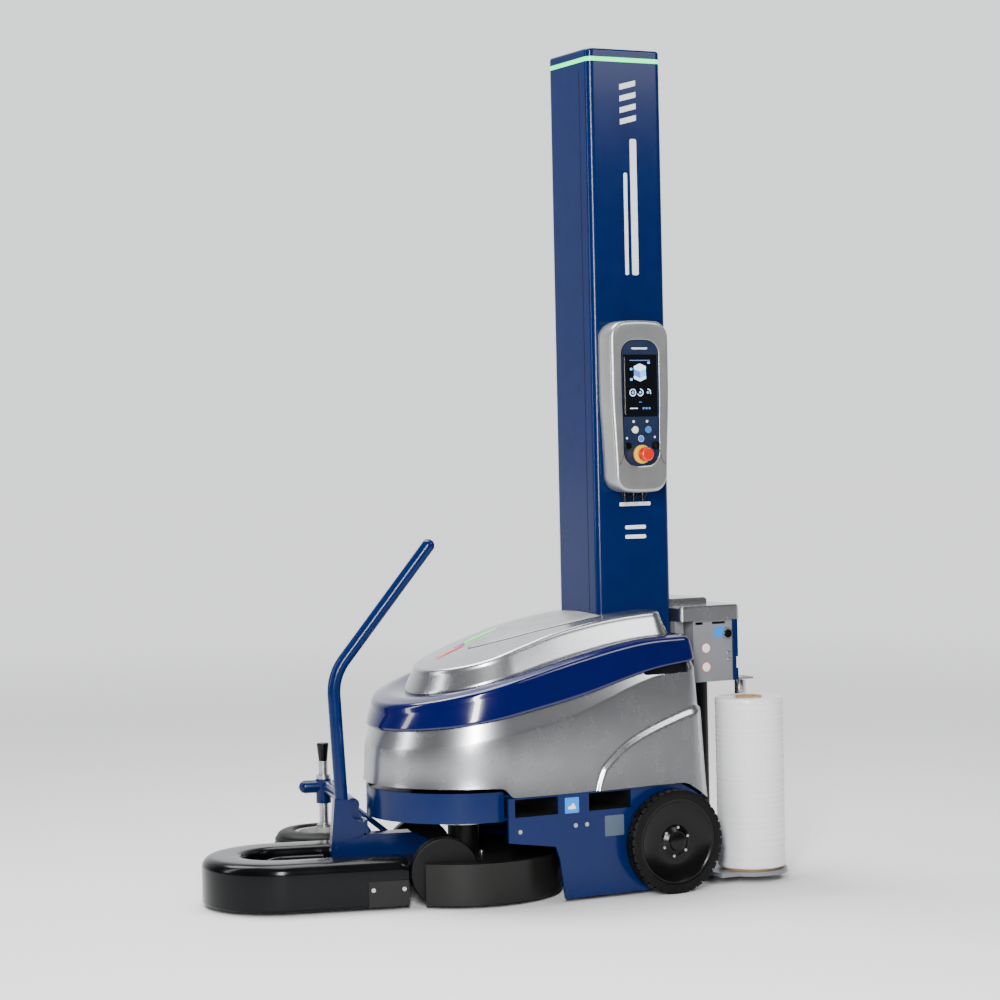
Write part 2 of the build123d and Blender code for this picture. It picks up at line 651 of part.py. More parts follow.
def make_estop_knob():
    """The red mushroom knob."""
    head_y = PANEL_FACE_Y - ESTOP_COLLAR_T - ESTOP_TRAVEL - 1
    head = across(ESTOP_HEAD_R, PANEL_X, ESTOP_Z, head_y - ESTOP_HEAD_T, head_y)
    head = fillet(head.faces().sort_by(Axis.Y)[0].edges(), 6)
    return head + panel_hole("estop", 0, head_y, PANEL_FACE_Y + PANEL_WALL + FACEPLATE_T + 14)


# ------------------------------------------------------------------ rear wheels and drive
def make_rear_tyre():
    """A solid tyre with tread blocks, on the right-hand side."""
    out_y = WHEEL_IN_Y + REAR_WHEEL_W
    tyre = across(REAR_WHEEL_R, WHEEL_X, REAR_WHEEL_R, WHEEL_IN_Y, out_y)
    tyre -= across(REAR_WHEEL_R - TYRE_DEPTH, WHEEL_X, REAR_WHEEL_R, WHEEL_IN_Y - 1, out_y + 1)
    return tyre


def make_rear_disc(driven):
    """The dished wheel disc and its shaft; the driven wheel's shaft also carries the belt pulley."""
    out_y = WHEEL_IN_Y + REAR_WHEEL_W
    rim_r = REAR_WHEEL_R - TYRE_DEPTH - SEAT
    profile = polygon(
        (0, out_y - 6), (30, out_y - 6), (44, out_y - 16), (rim_r - 24, out_y - 16), (rim_r - 8, out_y - 2),
        (rim_r, out_y - 2), (rim_r, WHEEL_IN_Y + 4), (rim_r - 10, WHEEL_IN_Y + 4),
        (rim_r - 26, out_y - 24), (36, out_y - 24), (30, WHEEL_IN_Y + 1), (0, WHEEL_IN_Y + 1))
    disc = Pos(WHEEL_X, 0, REAR_WHEEL_R) * revolve(profile, Axis.Y)
    inner_y = -DRIVE_BELT_Y - BELT_W / 2 - 12 if driven else PLATE_IN - 30
    disc += across(AXLE_R, WHEEL_X, REAR_WHEEL_R, inner_y, WHEEL_IN_Y + 2)
    if driven:
        edge = BELT_W / 2
        disc += across(DRIVE_PULLEY_R, WHEEL_X, REAR_WHEEL_R, -DRIVE_BELT_Y - edge, -DRIVE_BELT_Y + edge)
    return disc


def make_axle_bearings():
    """A flanged bearing bolted inside each side plate."""
    housing = across(BEARING_R, WHEEL_X, REAR_WHEEL_R, PLATE_IN - 20, PLATE_IN)
    housing += across(BEARING_R * 0.55 - SEAT, WHEEL_X, REAR_WHEEL_R, PLATE_IN, PLATE_OUT)
    housing -= across(AXLE_R + GAP / 4, WHEEL_X, REAR_WHEEL_R, 0, 2 * BODY_HALF)
    return both_sides(housing)


def make_drive_gearmotor():
    """The drive motor on its cradle, and a bearing block for the pulley's shaft."""
    y0 = DRIVE_BELT_Y + BELT_W / 2 + 12
    motor = across(DRIVE_MOTOR_R, MOTOR_X, REAR_WHEEL_R, y0, y0 + 190)
    motor += block(MOTOR_X - 30, MOTOR_X + 30, y0, y0 + 30, 60 + PLATE_T, REAR_WHEEL_R)
    motor += block(MOTOR_X - 30, MOTOR_X + 30, y0 + 150, y0 + 180, 60 + PLATE_T, REAR_WHEEL_R)
    return motor - across(9 + GAP / 4, MOTOR_X, REAR_WHEEL_R, y0 - 1, y0 + 40)


def make_motor_pulley():
    """The small pulley on the motor's shaft."""
    edge = BELT_W / 2
    shaft = across(9, MOTOR_X, REAR_WHEEL_R, DRIVE_BELT_Y - edge - 4, DRIVE_BELT_Y + edge + 12 + 38)
    return shaft + across(MOTOR_PULLEY_R, MOTOR_X, REAR_WHEEL_R, DRIVE_BELT_Y - edge, DRIVE_BELT_Y + edge)


def make_drive_belt():
    """The belt from the motor to the left rear wheel."""
    ends = ((MOTOR_X, REAR_WHEEL_R, MOTOR_PULLEY_R), (WHEEL_X, REAR_WHEEL_R, DRIVE_PULLEY_R))
    return belt_loop(ends, BELT_W - 2, DRIVE_BELT_Y, BELT_T)


def make_batteries():
    """Two batteries side by side on the tray."""
    length, width, height = BATTERY
    x1 = REAR_X - 14 - GAP
    right = block(x1 - length, x1, 3, 3 + width, 60 + PLATE_T, 60 + PLATE_T + height)
    return both_sides(right)


def make_control_box():
    """The control and charger box on the chassis deck."""
    return block(120, MAST_FRONT - 30, -140, 140, PLATE_TOP_Z, PLATE_TOP_Z + 150)


def make_frame_screws():
    """Button-head screws on the outside of both side plates."""
    screws = []
    for x, z in ((196, 216), (232, 216), (20, 212), (WHEEL_X + 104, 236)):
        head = across(6, x, z, PLATE_OUT, PLATE_OUT + 3)
        screws += both_sides(head)
    return screws


# ------------------------------------------------------------------ steering turret
def make_turret_deck():
    """Round deck, steering column, front pan and the two axle hangers, as one black weldment."""
    deck_r = SKIRT_R - SKIRT_WALL - SEAT
    deck = upright(deck_r, TURRET_TOP_Z - DECK_T, TURRET_TOP_Z)
    deck -= block(-2 * SKIRT_R, DECK_FRONT_X, -SKIRT_R, SKIRT_R, 0, 2 * TURRET_TOP_Z)
    pan_half = BUMPER_HALF - BUMPER_W - GAP
    pan = block(BUMPER_NOSE_X, -100, -pan_half, pan_half, PAN_TOP_Z - DECK_T, PAN_TOP_Z)
    pan += upright(pan_half, PAN_TOP_Z - DECK_T, PAN_TOP_Z, BUMPER_NOSE_X)
    riser = block(-150, -100, -pan_half, pan_half, PAN_TOP_Z - DECK_T, TURRET_TOP_Z)
    column = upright(COLUMN_R, TURRET_TOP_Z, BELLY_Z - GAP)
    column += upright(COLLAR_R, BELLY_Z - 24 + GAP, BELLY_Z - 10 - GAP)
    deck += pan + riser + column
    for side in (-1, 1):
        y = side * FRONT_WHEEL_Y
        wheel_half = FRONT_WHEEL_W / 2 + 7
        deck -= block(-FRONT_WHEEL_LEAD - FRONT_WHEEL_R - 6, -FRONT_WHEEL_LEAD + FRONT_WHEEL_R + 6,
                      y - wheel_half, y + wheel_half, 0, 2 * TURRET_TOP_Z)
        inner, outer = y - side * (wheel_half + 8), y - side * wheel_half
        deck += block(-FRONT_WHEEL_LEAD - 26, -FRONT_WHEEL_LEAD + 26, min(inner, outer), max(inner, outer),
                      FRONT_WHEEL_R - 24, TURRET_TOP_Z)
        end = y + side * (FRONT_WHEEL_W / 2 + 4)
        deck += across(FRONT_AXLE_R, -FRONT_WHEEL_LEAD, FRONT_WHEEL_R, inner, end)
        deck += across(FRONT_AXLE_R + 7, -FRONT_WHEEL_LEAD, FRONT_WHEEL_R, outer,
                       y - side * (FRONT_WHEEL_W / 2 + GAP))
        deck += across(FRONT_AXLE_R + 6, -FRONT_WHEEL_LEAD, FRONT_WHEEL_R,
                       y + side * (FRONT_WHEEL_W / 2 + GAP), end)
    return steered(deck)


def make_turret_skirt():
    """The drum-shaped guard round the turret's sides and back."""
    wall = ring(SKIRT_R, SKIRT_R - SKIRT_WALL, TURRET_FLOOR_Z, TURRET_TOP_Z)
    return steered(wall & block(SKIRT_START_X, 2 * SKIRT_R, -2 * SKIRT_R, 2 * SKIRT_R, 0, 2 * TURRET_TOP_Z))


def make_bumper():
    """The soft horseshoe bumper."""
    def plan(half):
        nose = BUMPER_NOSE_X
        edges = [
            CenterArc((nose, 0), half, 90, 180),
            Line((nose, -half), (BUMPER_END_X, -half)),
            Line((BUMPER_END_X, -half), (BUMPER_END_X, half)),
            Line((BUMPER_END_X, half), (nose, half)),
        ]
        return make_face(edges)

    height = BUMPER_TOP_Z - TURRET_FLOOR_Z
    body = Pos(0, 0, TURRET_FLOOR_Z) * extrude(plan(BUMPER_HALF), height)
    rims = body.faces().sort_by(Axis.Z)
    outer_edges = [edge for edge in rims[-1].edges() if abs((edge @ 0.5).X - BUMPER_END_X) > 1]
    body = fillet(outer_edges, BUMPER_ROUND)
    hole = extrude(plan(BUMPER_HALF - BUMPER_W), height + 2) + block(
        BUMPER_END_X - 5, BUMPER_END_X + 5, BUMPER_W - BUMPER_HALF, BUMPER_HALF - BUMPER_W, 0, height + 2)
    return steered(body - Pos(0, 0, TURRET_FLOOR_Z - 1) * hole)


def make_tiller_bracket():
    """The blue drawbar: two cheeks on the pan, the tiller's pivot pin, its stop and the feeler's post."""
    half = TILLER_FOOT_W / 2 + GAP
    cheek = polygon(
        (-385, PAN_TOP_Z), (-385, 158), (-358, 164), (-280, 187), (-157, 187), (-100, 160), (-66, TURRET_TOP_Z),
        (DECK_FRONT_X - SEAT, TURRET_TOP_Z), (DECK_FRONT_X - SEAT, PAN_TOP_Z))
    bracket = side_shape(cheek, half, half + BRACKET_T) + side_shape(cheek, -half - BRACKET_T, -half)
    bracket += block(STOP_X, -158, -half - 1, half + 1, 176, 187)
    bracket += block(STOP_X, STOP_X + 6, -half - 1, half + 1, 176, 228)
    bracket += across(TILLER_PIN_R, TILLER_X, TILLER_PIVOT_Z, -half - BRACKET_T - 4, half + BRACKET_T + 4)
    # the feeler's upright beside the drawbar
    bracket += block(ARM_X - 16, ARM_X + 16, half + BRACKET_T - 1, half + BRACKET_T + 9, PAN_TOP_Z, ARM_Z + 14)
    return steered(bracket)


def make_feeler_arm():
    """The feeler's tube, its two struts and the sleeve that clamps the post."""
    cheek_y = TILLER_FOOT_W / 2 + GAP + BRACKET_T
    arm = bar(8, (ARM_X + 4, 165, ARM_Z - 8), (-205, cheek_y - 9, 170))
    arm += bar(8, (ARM_X + 4, 120, ARM_Z - 8), (-262, cheek_y - 9, 170))
    arm -= block(-600, 0, 0, cheek_y, 0, 2 * ARM_Z)
    arm += bar(ARM_R, (ARM_X, cheek_y + 9.5, ARM_Z), (ARM_X - 10, FEELER_Y + 55, ARM_Z))
    sleeve = upright(FEELER_POST_R + 9, ARM_Z - 50, ARM_TOP + 3, FEELER_X, FEELER_Y)
    saddle = block(FEELER_X - 16, ARM_X + 12, FEELER_Y - 14, FEELER_Y + 14, ARM_Z - 16, ARM_Z + 16)
    arm += sleeve + saddle
    return steered(arm - upright(FEELER_POST_R + GAP, ARM_Z - 100, ARM_Z + 100, FEELER_X, FEELER_Y))


def make_feeler_post():
    """The grey height-set post, with collars above and below the wheel's hub."""
    top = ARM_TOP + 57
    post = upright(FEELER_POST_R, FEELER_BOTTOM_Z - 2, top, FEELER_X, FEELER_Y)
    post += upright(FEELER_POST_R + 8, FEELER_TOP_Z + 4 + GAP, FEELER_TOP_Z + 12, FEELER_X, FEELER_Y)
    post += upright(FEELER_POST_R + 8, FEELER_BOTTOM_Z - 8, FEELER_BOTTOM_Z - GAP, FEELER_X, FEELER_Y)
    post += upright(FEELER_POST_R + 8, ARM_TOP + 3 + GAP, ARM_TOP + 15, FEELER_X, FEELER_Y)
    return steered(post)


def make_feeler_knob():
    """The tapered black knob on top of the post."""
    z0 = ARM_TOP + 57
    knob = Pos(FEELER_X, FEELER_Y, z0) * Cone(13, 19, 55, align=ON_BASE)
    return steered(fillet(knob.edges().sort_by(Axis.Z)[-1], 5))


def make_feeler_rim():
    """The light grey rim and hub."""
    rim = ring(FEELER_RIM_R, FEELER_RIM_R - 14, FEELER_BOTTOM_Z + 8, FEELER_TOP_Z - 8, FEELER_X, FEELER_Y)
    rim += upright(FEELER_RIM_R - 13, FEELER_BOTTOM_Z + 30, FEELER_BOTTOM_Z + 40, FEELER_X, FEELER_Y)
    rim += upright(28, FEELER_BOTTOM_Z, FEELER_TOP_Z + 4, FEELER_X, FEELER_Y)
    return steered(rim - upright(FEELER_POST_R + GAP, 0, 400, FEELER_X, FEELER_Y))


def make_feeler_tyre():
    """The round-shouldered feeler tyre."""
    tyre = ring(FEELER_R, FEELER_RIM_R + SEAT, FEELER_BOTTOM_Z, FEELER_TOP_Z, FEELER_X, FEELER_Y)
    rims = [e for e in tyre.edges().filter_by(GeomType.CIRCLE) if abs(e.radius - FEELER_R) < 1]
    return steered(fillet(rims, 30))


def make_front_wheel(side):
    """A moulded wheel with a rounded tread."""
    y = side * FRONT_WHEEL_Y
    half = FRONT_WHEEL_W / 2
    wheel = across(FRONT_WHEEL_R, -FRONT_WHEEL_LEAD, FRONT_WHEEL_R, y - half, y + half)
    wheel = fillet(wheel.edges().filter_by(GeomType.CIRCLE), 5)
    return steered(wheel - across(FRONT_AXLE_R + GAP, -FRONT_WHEEL_LEAD, FRONT_WHEEL_R, y - 50, y + 50))


def make_turret_bolts():
    """Bolt heads on the bumper's left rear end and on the turret deck."""
    bolts = [across(6, x, 60, -BUMPER_HALF - 4, -BUMPER_HALF) for x in (-302, -215)]
    for angle in (60, 120, 180, 240, 300):
        x, y = 78 * math.cos(math.radians(angle)), 78 * math.sin(math.radians(angle))
        bolts.append(upright(7, TURRET_TOP_Z, TURRET_TOP_Z + 6, x, y))
    return [steered(bolt) for bolt in bolts]


def make_tiller():
    """The tiller: a foot that turns on the pin, and a bent tube with a rounded end."""
    low = (-352, 0, 262)
    elbow, end = (-371, 0, 640), (-86, 0, 1004)
    path = FilletPolyline(low, elbow, end, radius=150)
    tube = sweep(Plane(origin=path @ 0, z_dir=path % 0) * Circle(TILLER_R), path)
    tube += Pos(*(path @ 1)) * Sphere(TILLER_R)
    half = TILLER_FOOT_W / 2
    foot = polygon(
        (-388, 134), (-388, 150), (-376, 288), (-332, 288), (-324, 234), (STOP_X - GAP, 214),
        (STOP_X - GAP, 194), (-336, 134))
    body = side_shape(foot, -half, half) + tube
    return steered(body - across(TILLER_PIN_R + 0.05, TILLER_X, TILLER_PIVOT_Z, -100, 100))


# ------------------------------------------------------------------ film carriage
def make_carriage_frame():
    """Spine, base plate and head, with the tongue that reaches into the mast."""
    spine = block(CARRIAGE_X, SPINE_BACK, -SPINE_HALF, SPINE_HALF, BASE_Z, HEAD_TOP_Z)
    base = block(CARRIAGE_X + 10, HEAD_REAR_X + 50, HEAD_LEFT_Y - 8, HEAD_RIGHT_Y, BASE_Z, BASE_TOP_Z)
    base += upright(ROLL_R + 3, BASE_Z, BASE_TOP_Z, ROLL_X, ROLL_Y)
    base += block(CARRIAGE_X + 29, ROLL_X, ROLL_Y - ROLL_R + 40, ROLL_Y + ROLL_R, BASE_Z, BASE_TOP_Z)
    floor = block(SPINE_BACK - 1, HEAD_REAR_X, HEAD_LEFT_Y + 4, HEAD_RIGHT_Y, HEAD_BOTTOM_Z, HEAD_BOTTOM_Z + 6)
    floor += block(HEAD_REAR_X - 1, IDLE_X + 30, HEAD_LEFT_Y + 4, IDLE_Y + 30, HEAD_BOTTOM_Z, HEAD_BOTTOM_Z + 6)
    right = block(SPINE_BACK - 1, HEAD_REAR_X, HEAD_RIGHT_Y - 4, HEAD_RIGHT_Y, HEAD_BOTTOM_Z, HEAD_TOP_Z)
    back = block(HEAD_REAR_X - 4, HEAD_REAR_X, HEAD_LEFT_Y + 4, HEAD_RIGHT_Y, HEAD_BOTTOM_Z, HEAD_TOP_Z)
    front = block(HEAD_FRONT_X, HEAD_FRONT_X + 4, HEAD_LEFT_Y + 4, HEAD_RIGHT_Y, HEAD_BOTTOM_Z, HEAD_TOP_Z)
    reach = LIFT_X + PULLEY_R + 2.5 + GAP
    tongue = block(reach, CARRIAGE_X + 1, -SLOT_HALF + 6, SLOT_HALF - 6, 430, 680)
    guide_x = MAST_REAR - MAST_WALL - 4
    for z in (440, 650):
        tongue += block(guide_x - 26, guide_x, -SLOT_HALF - 30, SLOT_HALF + 30, z, z + 24)
    frame = spine + base + floor + right + back + front + tongue
    for x, y, _ in roller_places():
        frame -= upright(8 + GAP / 4, 0, HEAD_BOTTOM_Z + 20, x, y)
    return frame - upright(12 + GAP / 4, 0, BASE_TOP_Z + 5, ROLL_X, ROLL_Y)


def roller_places():
    """Axes of the rollers: (x, y, radius)."""
    return ((ROLLER_X, SLOW_ROLLER_Y, ROLLER_R), (ROLLER_X, FAST_ROLLER_Y, ROLLER_R), (IDLE_X, IDLE_Y, IDLE_R))


def gear_wheel(teeth, z0, z1, x, y, phase):
    """A spur gear with straight-flanked teeth that mesh with backlash."""
    pitch = GEAR_MODULE * teeth / 2
    root, tip = pitch - 1.25 * GEAR_MODULE, pitch + 0.85 * GEAR_MODULE
    step = 360 / teeth
    points = []
    for tooth in range(teeth):
        for radius, turn in ((root, -0.34), (tip, -0.12), (tip, 0.12), (root, 0.34)):
            angle = math.radians(phase + (tooth + turn) * step)
            points.append((radius * math.cos(angle), radius * math.sin(angle)))
    return Pos(x, y, z0) * extrude(polygon(*points), z1 - z0)


def make_film_roller(place, teeth, phase):
    """A pre-stretch roller: shaft, rubbered drum and the gear above the head's floor."""
    x, y, radius = place
    gear_z = HEAD_BOTTOM_Z + 12
    roller = upright(8, BASE_Z, gear_z + 20, x, y) + upright(radius, BASE_TOP_Z + 3, HEAD_BOTTOM_Z - 4, x, y)
    return roller + gear_wheel(teeth, gear_z, gear_z + 16, x, y, phase)


def make_idle_roller():
    """The bright roller that leads the film off the roll."""
    x, y, radius = roller_places()[2]
    roller = upright(8, BASE_Z, HEAD_BOTTOM_Z + 6, x, y)
    return roller + upright(radius, BASE_TOP_Z + 3, HEAD_BOTTOM_Z - 4, x, y)


def make_roll_turntable():
    """The turning plate and spindle that carry the film roll."""
    z0 = BASE_TOP_Z + GAP
    table = upright(ROLL_R - 12, z0, z0 + TURNTABLE_T, ROLL_X, ROLL_Y)
    table += upright(SPINDLE_R, z0, z0 + ROLL_H * 0.6, ROLL_X, ROLL_Y)
    return table + upright(12, BASE_Z, z0 + 1, ROLL_X, ROLL_Y)


def make_film_core():
    """The cardboard core."""
    return ring(CORE_R, CORE_R - CORE_WALL, CORE_BOTTOM_Z, ROLL_TOP_Z, ROLL_X, ROLL_Y)


def make_film_roll():
    """The wound film."""
    return ring(ROLL_R, CORE_R + SEAT, CORE_BOTTOM_Z + 2, ROLL_TOP_Z - 2, ROLL_X, ROLL_Y)


def make_carriage_cover():
    """The silver two-step cover over the carriage's head."""
    low = block(HEAD_FRONT_X - 46, HEAD_REAR_X + 8, HEAD_LEFT_Y - 8, HEAD_RIGHT_Y + 6,
                HEAD_TOP_Z, HEAD_TOP_Z + HEAD_COVER_H)
    low = fillet(low.edges().filter_by(Axis.Z), 14)
    low = chamfer(low.faces().sort_by(Axis.Z)[-1].edges(), 5)
    high = block(HEAD_FRONT_X - 46 + 2, HEAD_REAR_X - 60, HEAD_LEFT_Y + 70, HEAD_RIGHT_Y,
                 HEAD_TOP_Z + HEAD_COVER_H - 2, HEAD_TOP_Z + HEAD_COVER_H + 20)
    return low + chamfer(high.faces().sort_by(Axis.Z)[-1].edges(), 5)


def make_side_panel():
    """The grey end panel of the head, with two slots and the button's hole."""
    panel = block(HEAD_FRONT_X, HEAD_REAR_X - 16, HEAD_LEFT_Y, HEAD_LEFT_Y + 4, HEAD_BOTTOM_Z, HEAD_TOP_Z)
    for x0, x1 in ((HEAD_FRONT_X + 8, HEAD_FRONT_X + 34), (HEAD_FRONT_X + 66, HEAD_FRONT_X + 112)):
        panel -= block(x0, x1, HEAD_LEFT_Y - 1, HEAD_LEFT_Y + 5, HEAD_TOP_Z - 12, HEAD_TOP_Z - 5)
    return panel - release_axis(9 + GAP, -10, 10)


def release_axis(radius, y0, y1):
    """A round prism on the axis of the carriage's button."""
    return across(radius, HEAD_REAR_X - 34, HEAD_TOP_Z - 42, HEAD_LEFT_Y + y0, HEAD_LEFT_Y + y1)


def make_edge_plate():
    """The dark blue strip along the head's rear edge, with its notch."""
    strip = block(HEAD_REAR_X - 16 + GAP, HEAD_REAR_X, HEAD_LEFT_Y - 6, HEAD_LEFT_Y + 4 - GAP,
                  HEAD_BOTTOM_Z, HEAD_TOP_Z)
    return strip - block(HEAD_REAR_X - 6, HEAD_REAR_X + 1, HEAD_LEFT_Y - 9, HEAD_LEFT_Y + 9,
                         HEAD_BOTTOM_Z + 36, HEAD_BOTTOM_Z + 70)


def make_release_button():
    """The round film-release button on the carriage."""
    return release_axis(9, -5, 22) + release_axis(12, -9, -BUTTON_TRAVEL - 0.5)


# ------------------------------------------------------------------ all nodes
nodes = {
    "chassis_frame": make_chassis_frame(),
    "side_plate_left": make_side_plate(-1),
    "side_plate_right": make_side_plate(1),
    "fork_pockets": make_fork_pockets(),
    "slewing_ring": make_slewing_ring(),
    "lower_hood": make_lower_hood(),
    "band_cover": make_band_cover(),
    "upper_cover": make_upper_cover(),
    "top_inlay": make_top_inlay(),
    "status_lights": make_status_lights(),
    "mast_column": make_mast_column(),
    "beacon_ring": make_beacon_ring(),
    "mast_cap": make_mast_cap(),
    "lift_gearmotor": make_lift_gearmotor(),
    "lift_belt": make_lift_belt(),
    "lift_pulley_drive": pulley(LIFT_X, LIFT_LOW_Z),
    "lift_pulley_top": pulley(LIFT_X, LIFT_HIGH_Z),
    "panel_housing": make_panel_housing(),
    "panel_faceplate": make_faceplate(),
    "panel_screen": plate_at(screen_outline(SEAT), PANEL_FACE_Y + 0.5, FACEPLATE_T - 0.5),
    "estop_collar": make_estop_collar(),
    "estop_knob": make_estop_knob(),
    "button_white": make_button("white", 3),
    "button_blue": make_button("blue", 3),
    "button_black": make_button("black", 4),
    "key_switch": make_key_switch(),
    "rear_tyre_left": mirror(make_rear_tyre(), Plane.XZ),
    "rear_disc_left": mirror(make_rear_disc(True), Plane.XZ),
    "rear_tyre_right": make_rear_tyre(),
    "rear_disc_right": make_rear_disc(False),
    "axle_bearings": make_axle_bearings(),
    "drive_gearmotor": make_drive_gearmotor(),
    "motor_pulley": make_motor_pulley(),
    "drive_belt": make_drive_belt(),
    "batteries": make_batteries(),
    "control_box": make_control_box(),
    "frame_screws": make_frame_screws(),
    "turret_deck": make_turret_deck(),
    "turret_skirt": make_turret_skirt(),
    "bumper": make_bumper(),
    "tiller_bracket": make_tiller_bracket(),
    "turret_bolts": make_turret_bolts(),
    "front_wheel_left": make_front_wheel(-1),
    "front_wheel_right": make_front_wheel(1),
    "tiller": make_tiller(),
    "feeler_arm": make_feeler_arm(),
    "feeler_post": make_feeler_post(),
    "feeler_knob": make_feeler_knob(),
    "feeler_rim": make_feeler_rim(),
    "feeler_tyre": make_feeler_tyre(),
    "carriage_frame": make_carriage_frame(),
    "carriage_cover": make_carriage_cover(),
    "carriage_side_panel": make_side_panel(),
    "carriage_edge_plate": make_edge_plate(),
    "release_button": make_release_button(),
    "roll_turntable": [make_roll_turntable(), make_film_core()],
    "film_roll": make_film_roll(),
    "prestretch_roller_slow": make_film_roller(roller_places()[0], GEAR_TEETH_SLOW, 90),
    "prestretch_roller_fast": make_film_roller(roller_places()[1], GEAR_TEETH_FAST, 270 + 180 / GEAR_TEETH_FAST),
    "idle_roller": make_idle_roller(),
}


def footprint_middle(shapes):
    """The middle of the whole machine's box, seen from above."""
    boxes = [Compound(children=list(s)).bounding_box() if isinstance(s, list) else s.bounding_box()
             for s in shapes]
    x0, x1 = min(b.min.X for b in boxes), max(b.max.X for b in boxes)
    y0, y1 = min(b.min.Y for b in boxes), max(b.max.Y for b in boxes)
    return (x0 + x1) / 2, (y0 + y1) / 2


ORIGIN_X, ORIGIN_Y = footprint_middle(nodes.values())

os.makedirs("parts", exist_ok=True)
for name, shape in nodes.items():
    solids = shape if isinstance(shape, list) else [shape]
    moved = [Pos(-ORIGIN_X, -ORIGIN_Y, 0) * solid for solid in solids]
    export_step(Compound(children=moved) if len(moved) > 1 else moved[0], f"parts/{name}.step")
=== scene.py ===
import json
import math

import bmesh
import bpy
from mathutils import Matrix, Vector


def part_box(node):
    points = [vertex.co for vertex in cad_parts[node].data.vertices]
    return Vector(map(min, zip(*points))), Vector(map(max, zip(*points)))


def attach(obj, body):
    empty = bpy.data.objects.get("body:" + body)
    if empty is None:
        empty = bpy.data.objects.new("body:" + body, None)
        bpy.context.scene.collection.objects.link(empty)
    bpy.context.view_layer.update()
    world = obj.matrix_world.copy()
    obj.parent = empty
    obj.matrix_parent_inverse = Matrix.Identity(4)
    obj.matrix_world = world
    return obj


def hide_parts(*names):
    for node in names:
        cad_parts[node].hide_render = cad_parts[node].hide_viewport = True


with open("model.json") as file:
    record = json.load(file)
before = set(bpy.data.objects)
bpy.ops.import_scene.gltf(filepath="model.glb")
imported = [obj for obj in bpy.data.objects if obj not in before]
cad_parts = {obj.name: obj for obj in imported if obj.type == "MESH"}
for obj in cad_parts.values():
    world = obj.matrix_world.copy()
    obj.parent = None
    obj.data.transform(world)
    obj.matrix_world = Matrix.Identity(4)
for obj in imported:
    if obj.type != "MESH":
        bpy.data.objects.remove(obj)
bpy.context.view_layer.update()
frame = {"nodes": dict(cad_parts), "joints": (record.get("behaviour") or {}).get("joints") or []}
NODES = frame["nodes"]
JOINTS = {joint["name"]: joint for joint in frame["joints"]}

# Every length is in metres. The machine's own axes start at the steering axis, on the floor.
STEER = Vector(JOINTS["steering"]["pos_m"])
STEER.z = 0.0
TURN = math.radians(-15.0)          # the turret's stored heading
SIDE, UP, LEFT = Vector((1, 0, 0)), Vector((0, 0, 1)), Vector((0, -1, 0))

HOOD_LOW, HOOD_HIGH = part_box("lower_hood")
BAND_LOW, BAND_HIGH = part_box("band_cover")
COVER_LOW, COVER_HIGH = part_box("upper_cover")
MAST_LOW, MAST_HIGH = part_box("mast_column")
PANEL_LOW, PANEL_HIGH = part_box("panel_housing")
PLATE_LOW, PLATE_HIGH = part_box("panel_faceplate")
SCREEN_LOW, SCREEN_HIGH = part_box("panel_screen")
BUMPER_LOW, BUMPER_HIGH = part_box("bumper")

# the lower hood, from the steering axis
HALF = (HOOD_HIGH.y - HOOD_LOW.y) / 2 - 0.0015      # half its width, just inside the CAD hood
NOSE = HOOD_LOW.x - STEER.x + 0.001
LENGTH = HOOD_HIGH.x - HOOD_LOW.x
REAR = NOSE + LENGTH - 0.002
HEM = 0.308                         # height of its lower edge
RISE = 0.354                        # height over which its walls lean in by LEAN
LEAN = 0.029
NOSE_LEAN = 0.026                   # how much further its nose leans back
GAP_Y = (MAST_HIGH.y - MAST_LOW.y) / 2 + 0.002      # half the gap that the covers leave for the mast
SHELL_WALL = 0.003
PRINT = 0.0004                      # how far a printed mark or label stands out

COVER_HALF = 0.222                  # the upper cover's half width, nose centre, rear edge and corners
COVER_NOSE = 0.067
COVER_REAR = REAR - 0.044
COVER_CORNER = 0.070
HOOD_CORNER = 0.062

# the studio
VIEW_AZIMUTH = math.radians(27.0)
BACK_LIGHT = 1.45
FRONT_LIGHT = 0.10
SUN_LIGHT = 1.9
FAR_GLOW = 0.72
FLOOR_PALE = 0.80
FLOOR_DARK = 0.05


def at(x, y, z):
    """A point given from the steering axis on the floor."""
    return Vector((STEER.x + x, STEER.y + y, z))


def steered(x, y, z):
    """A point given in the turret's own straight-ahead axes."""
    turned = Matrix.Rotation(TURN, 3, "Z") @ Vector((x, y, z))
    return at(turned.x, turned.y, z)


def smooth(t):
    """Eases from 0 to 1."""
    t = min(1.0, max(0.0, t))
    return t * t * (3 - 2 * t)


def follow(points, x):
    """A smooth line through (x, value) points (Catmull-Rom)."""
    if x <= points[0][0]:
        (xa, va), (xb, vb) = points[0], points[1]
        return va + (x - xa) * (vb - va) / (xb - xa)
    if x >= points[-1][0]:
        return points[-1][1]
    for i in range(len(points) - 1):
        (xa, va), (xb, vb) = points[i], points[i + 1]
        if x <= xb:
            before = points[i - 1] if i else (2 * xa - xb, 2 * va - vb)
            after = points[i + 2] if i + 2 < len(points) else (2 * xb - xa, 2 * vb - va)
            width = xb - xa
            slope_a = (vb - before[1]) / (xb - before[0])
            slope_b = (after[1] - va) / (after[0] - xa)
            t = (x - xa) / width
            return ((2 * t**3 - 3 * t**2 + 1) * va + (t**3 - 2 * t**2 + t) * width * slope_a
                    + (3 * t**2 - 2 * t**3) * vb + (t**3 - t**2) * width * slope_b)


def line_of(points):
    """Turns (share of the body's length, height) points into a function of x."""
    real = [(NOSE + share * LENGTH, z) for share, z in points]
    return lambda x: follow(real, x)


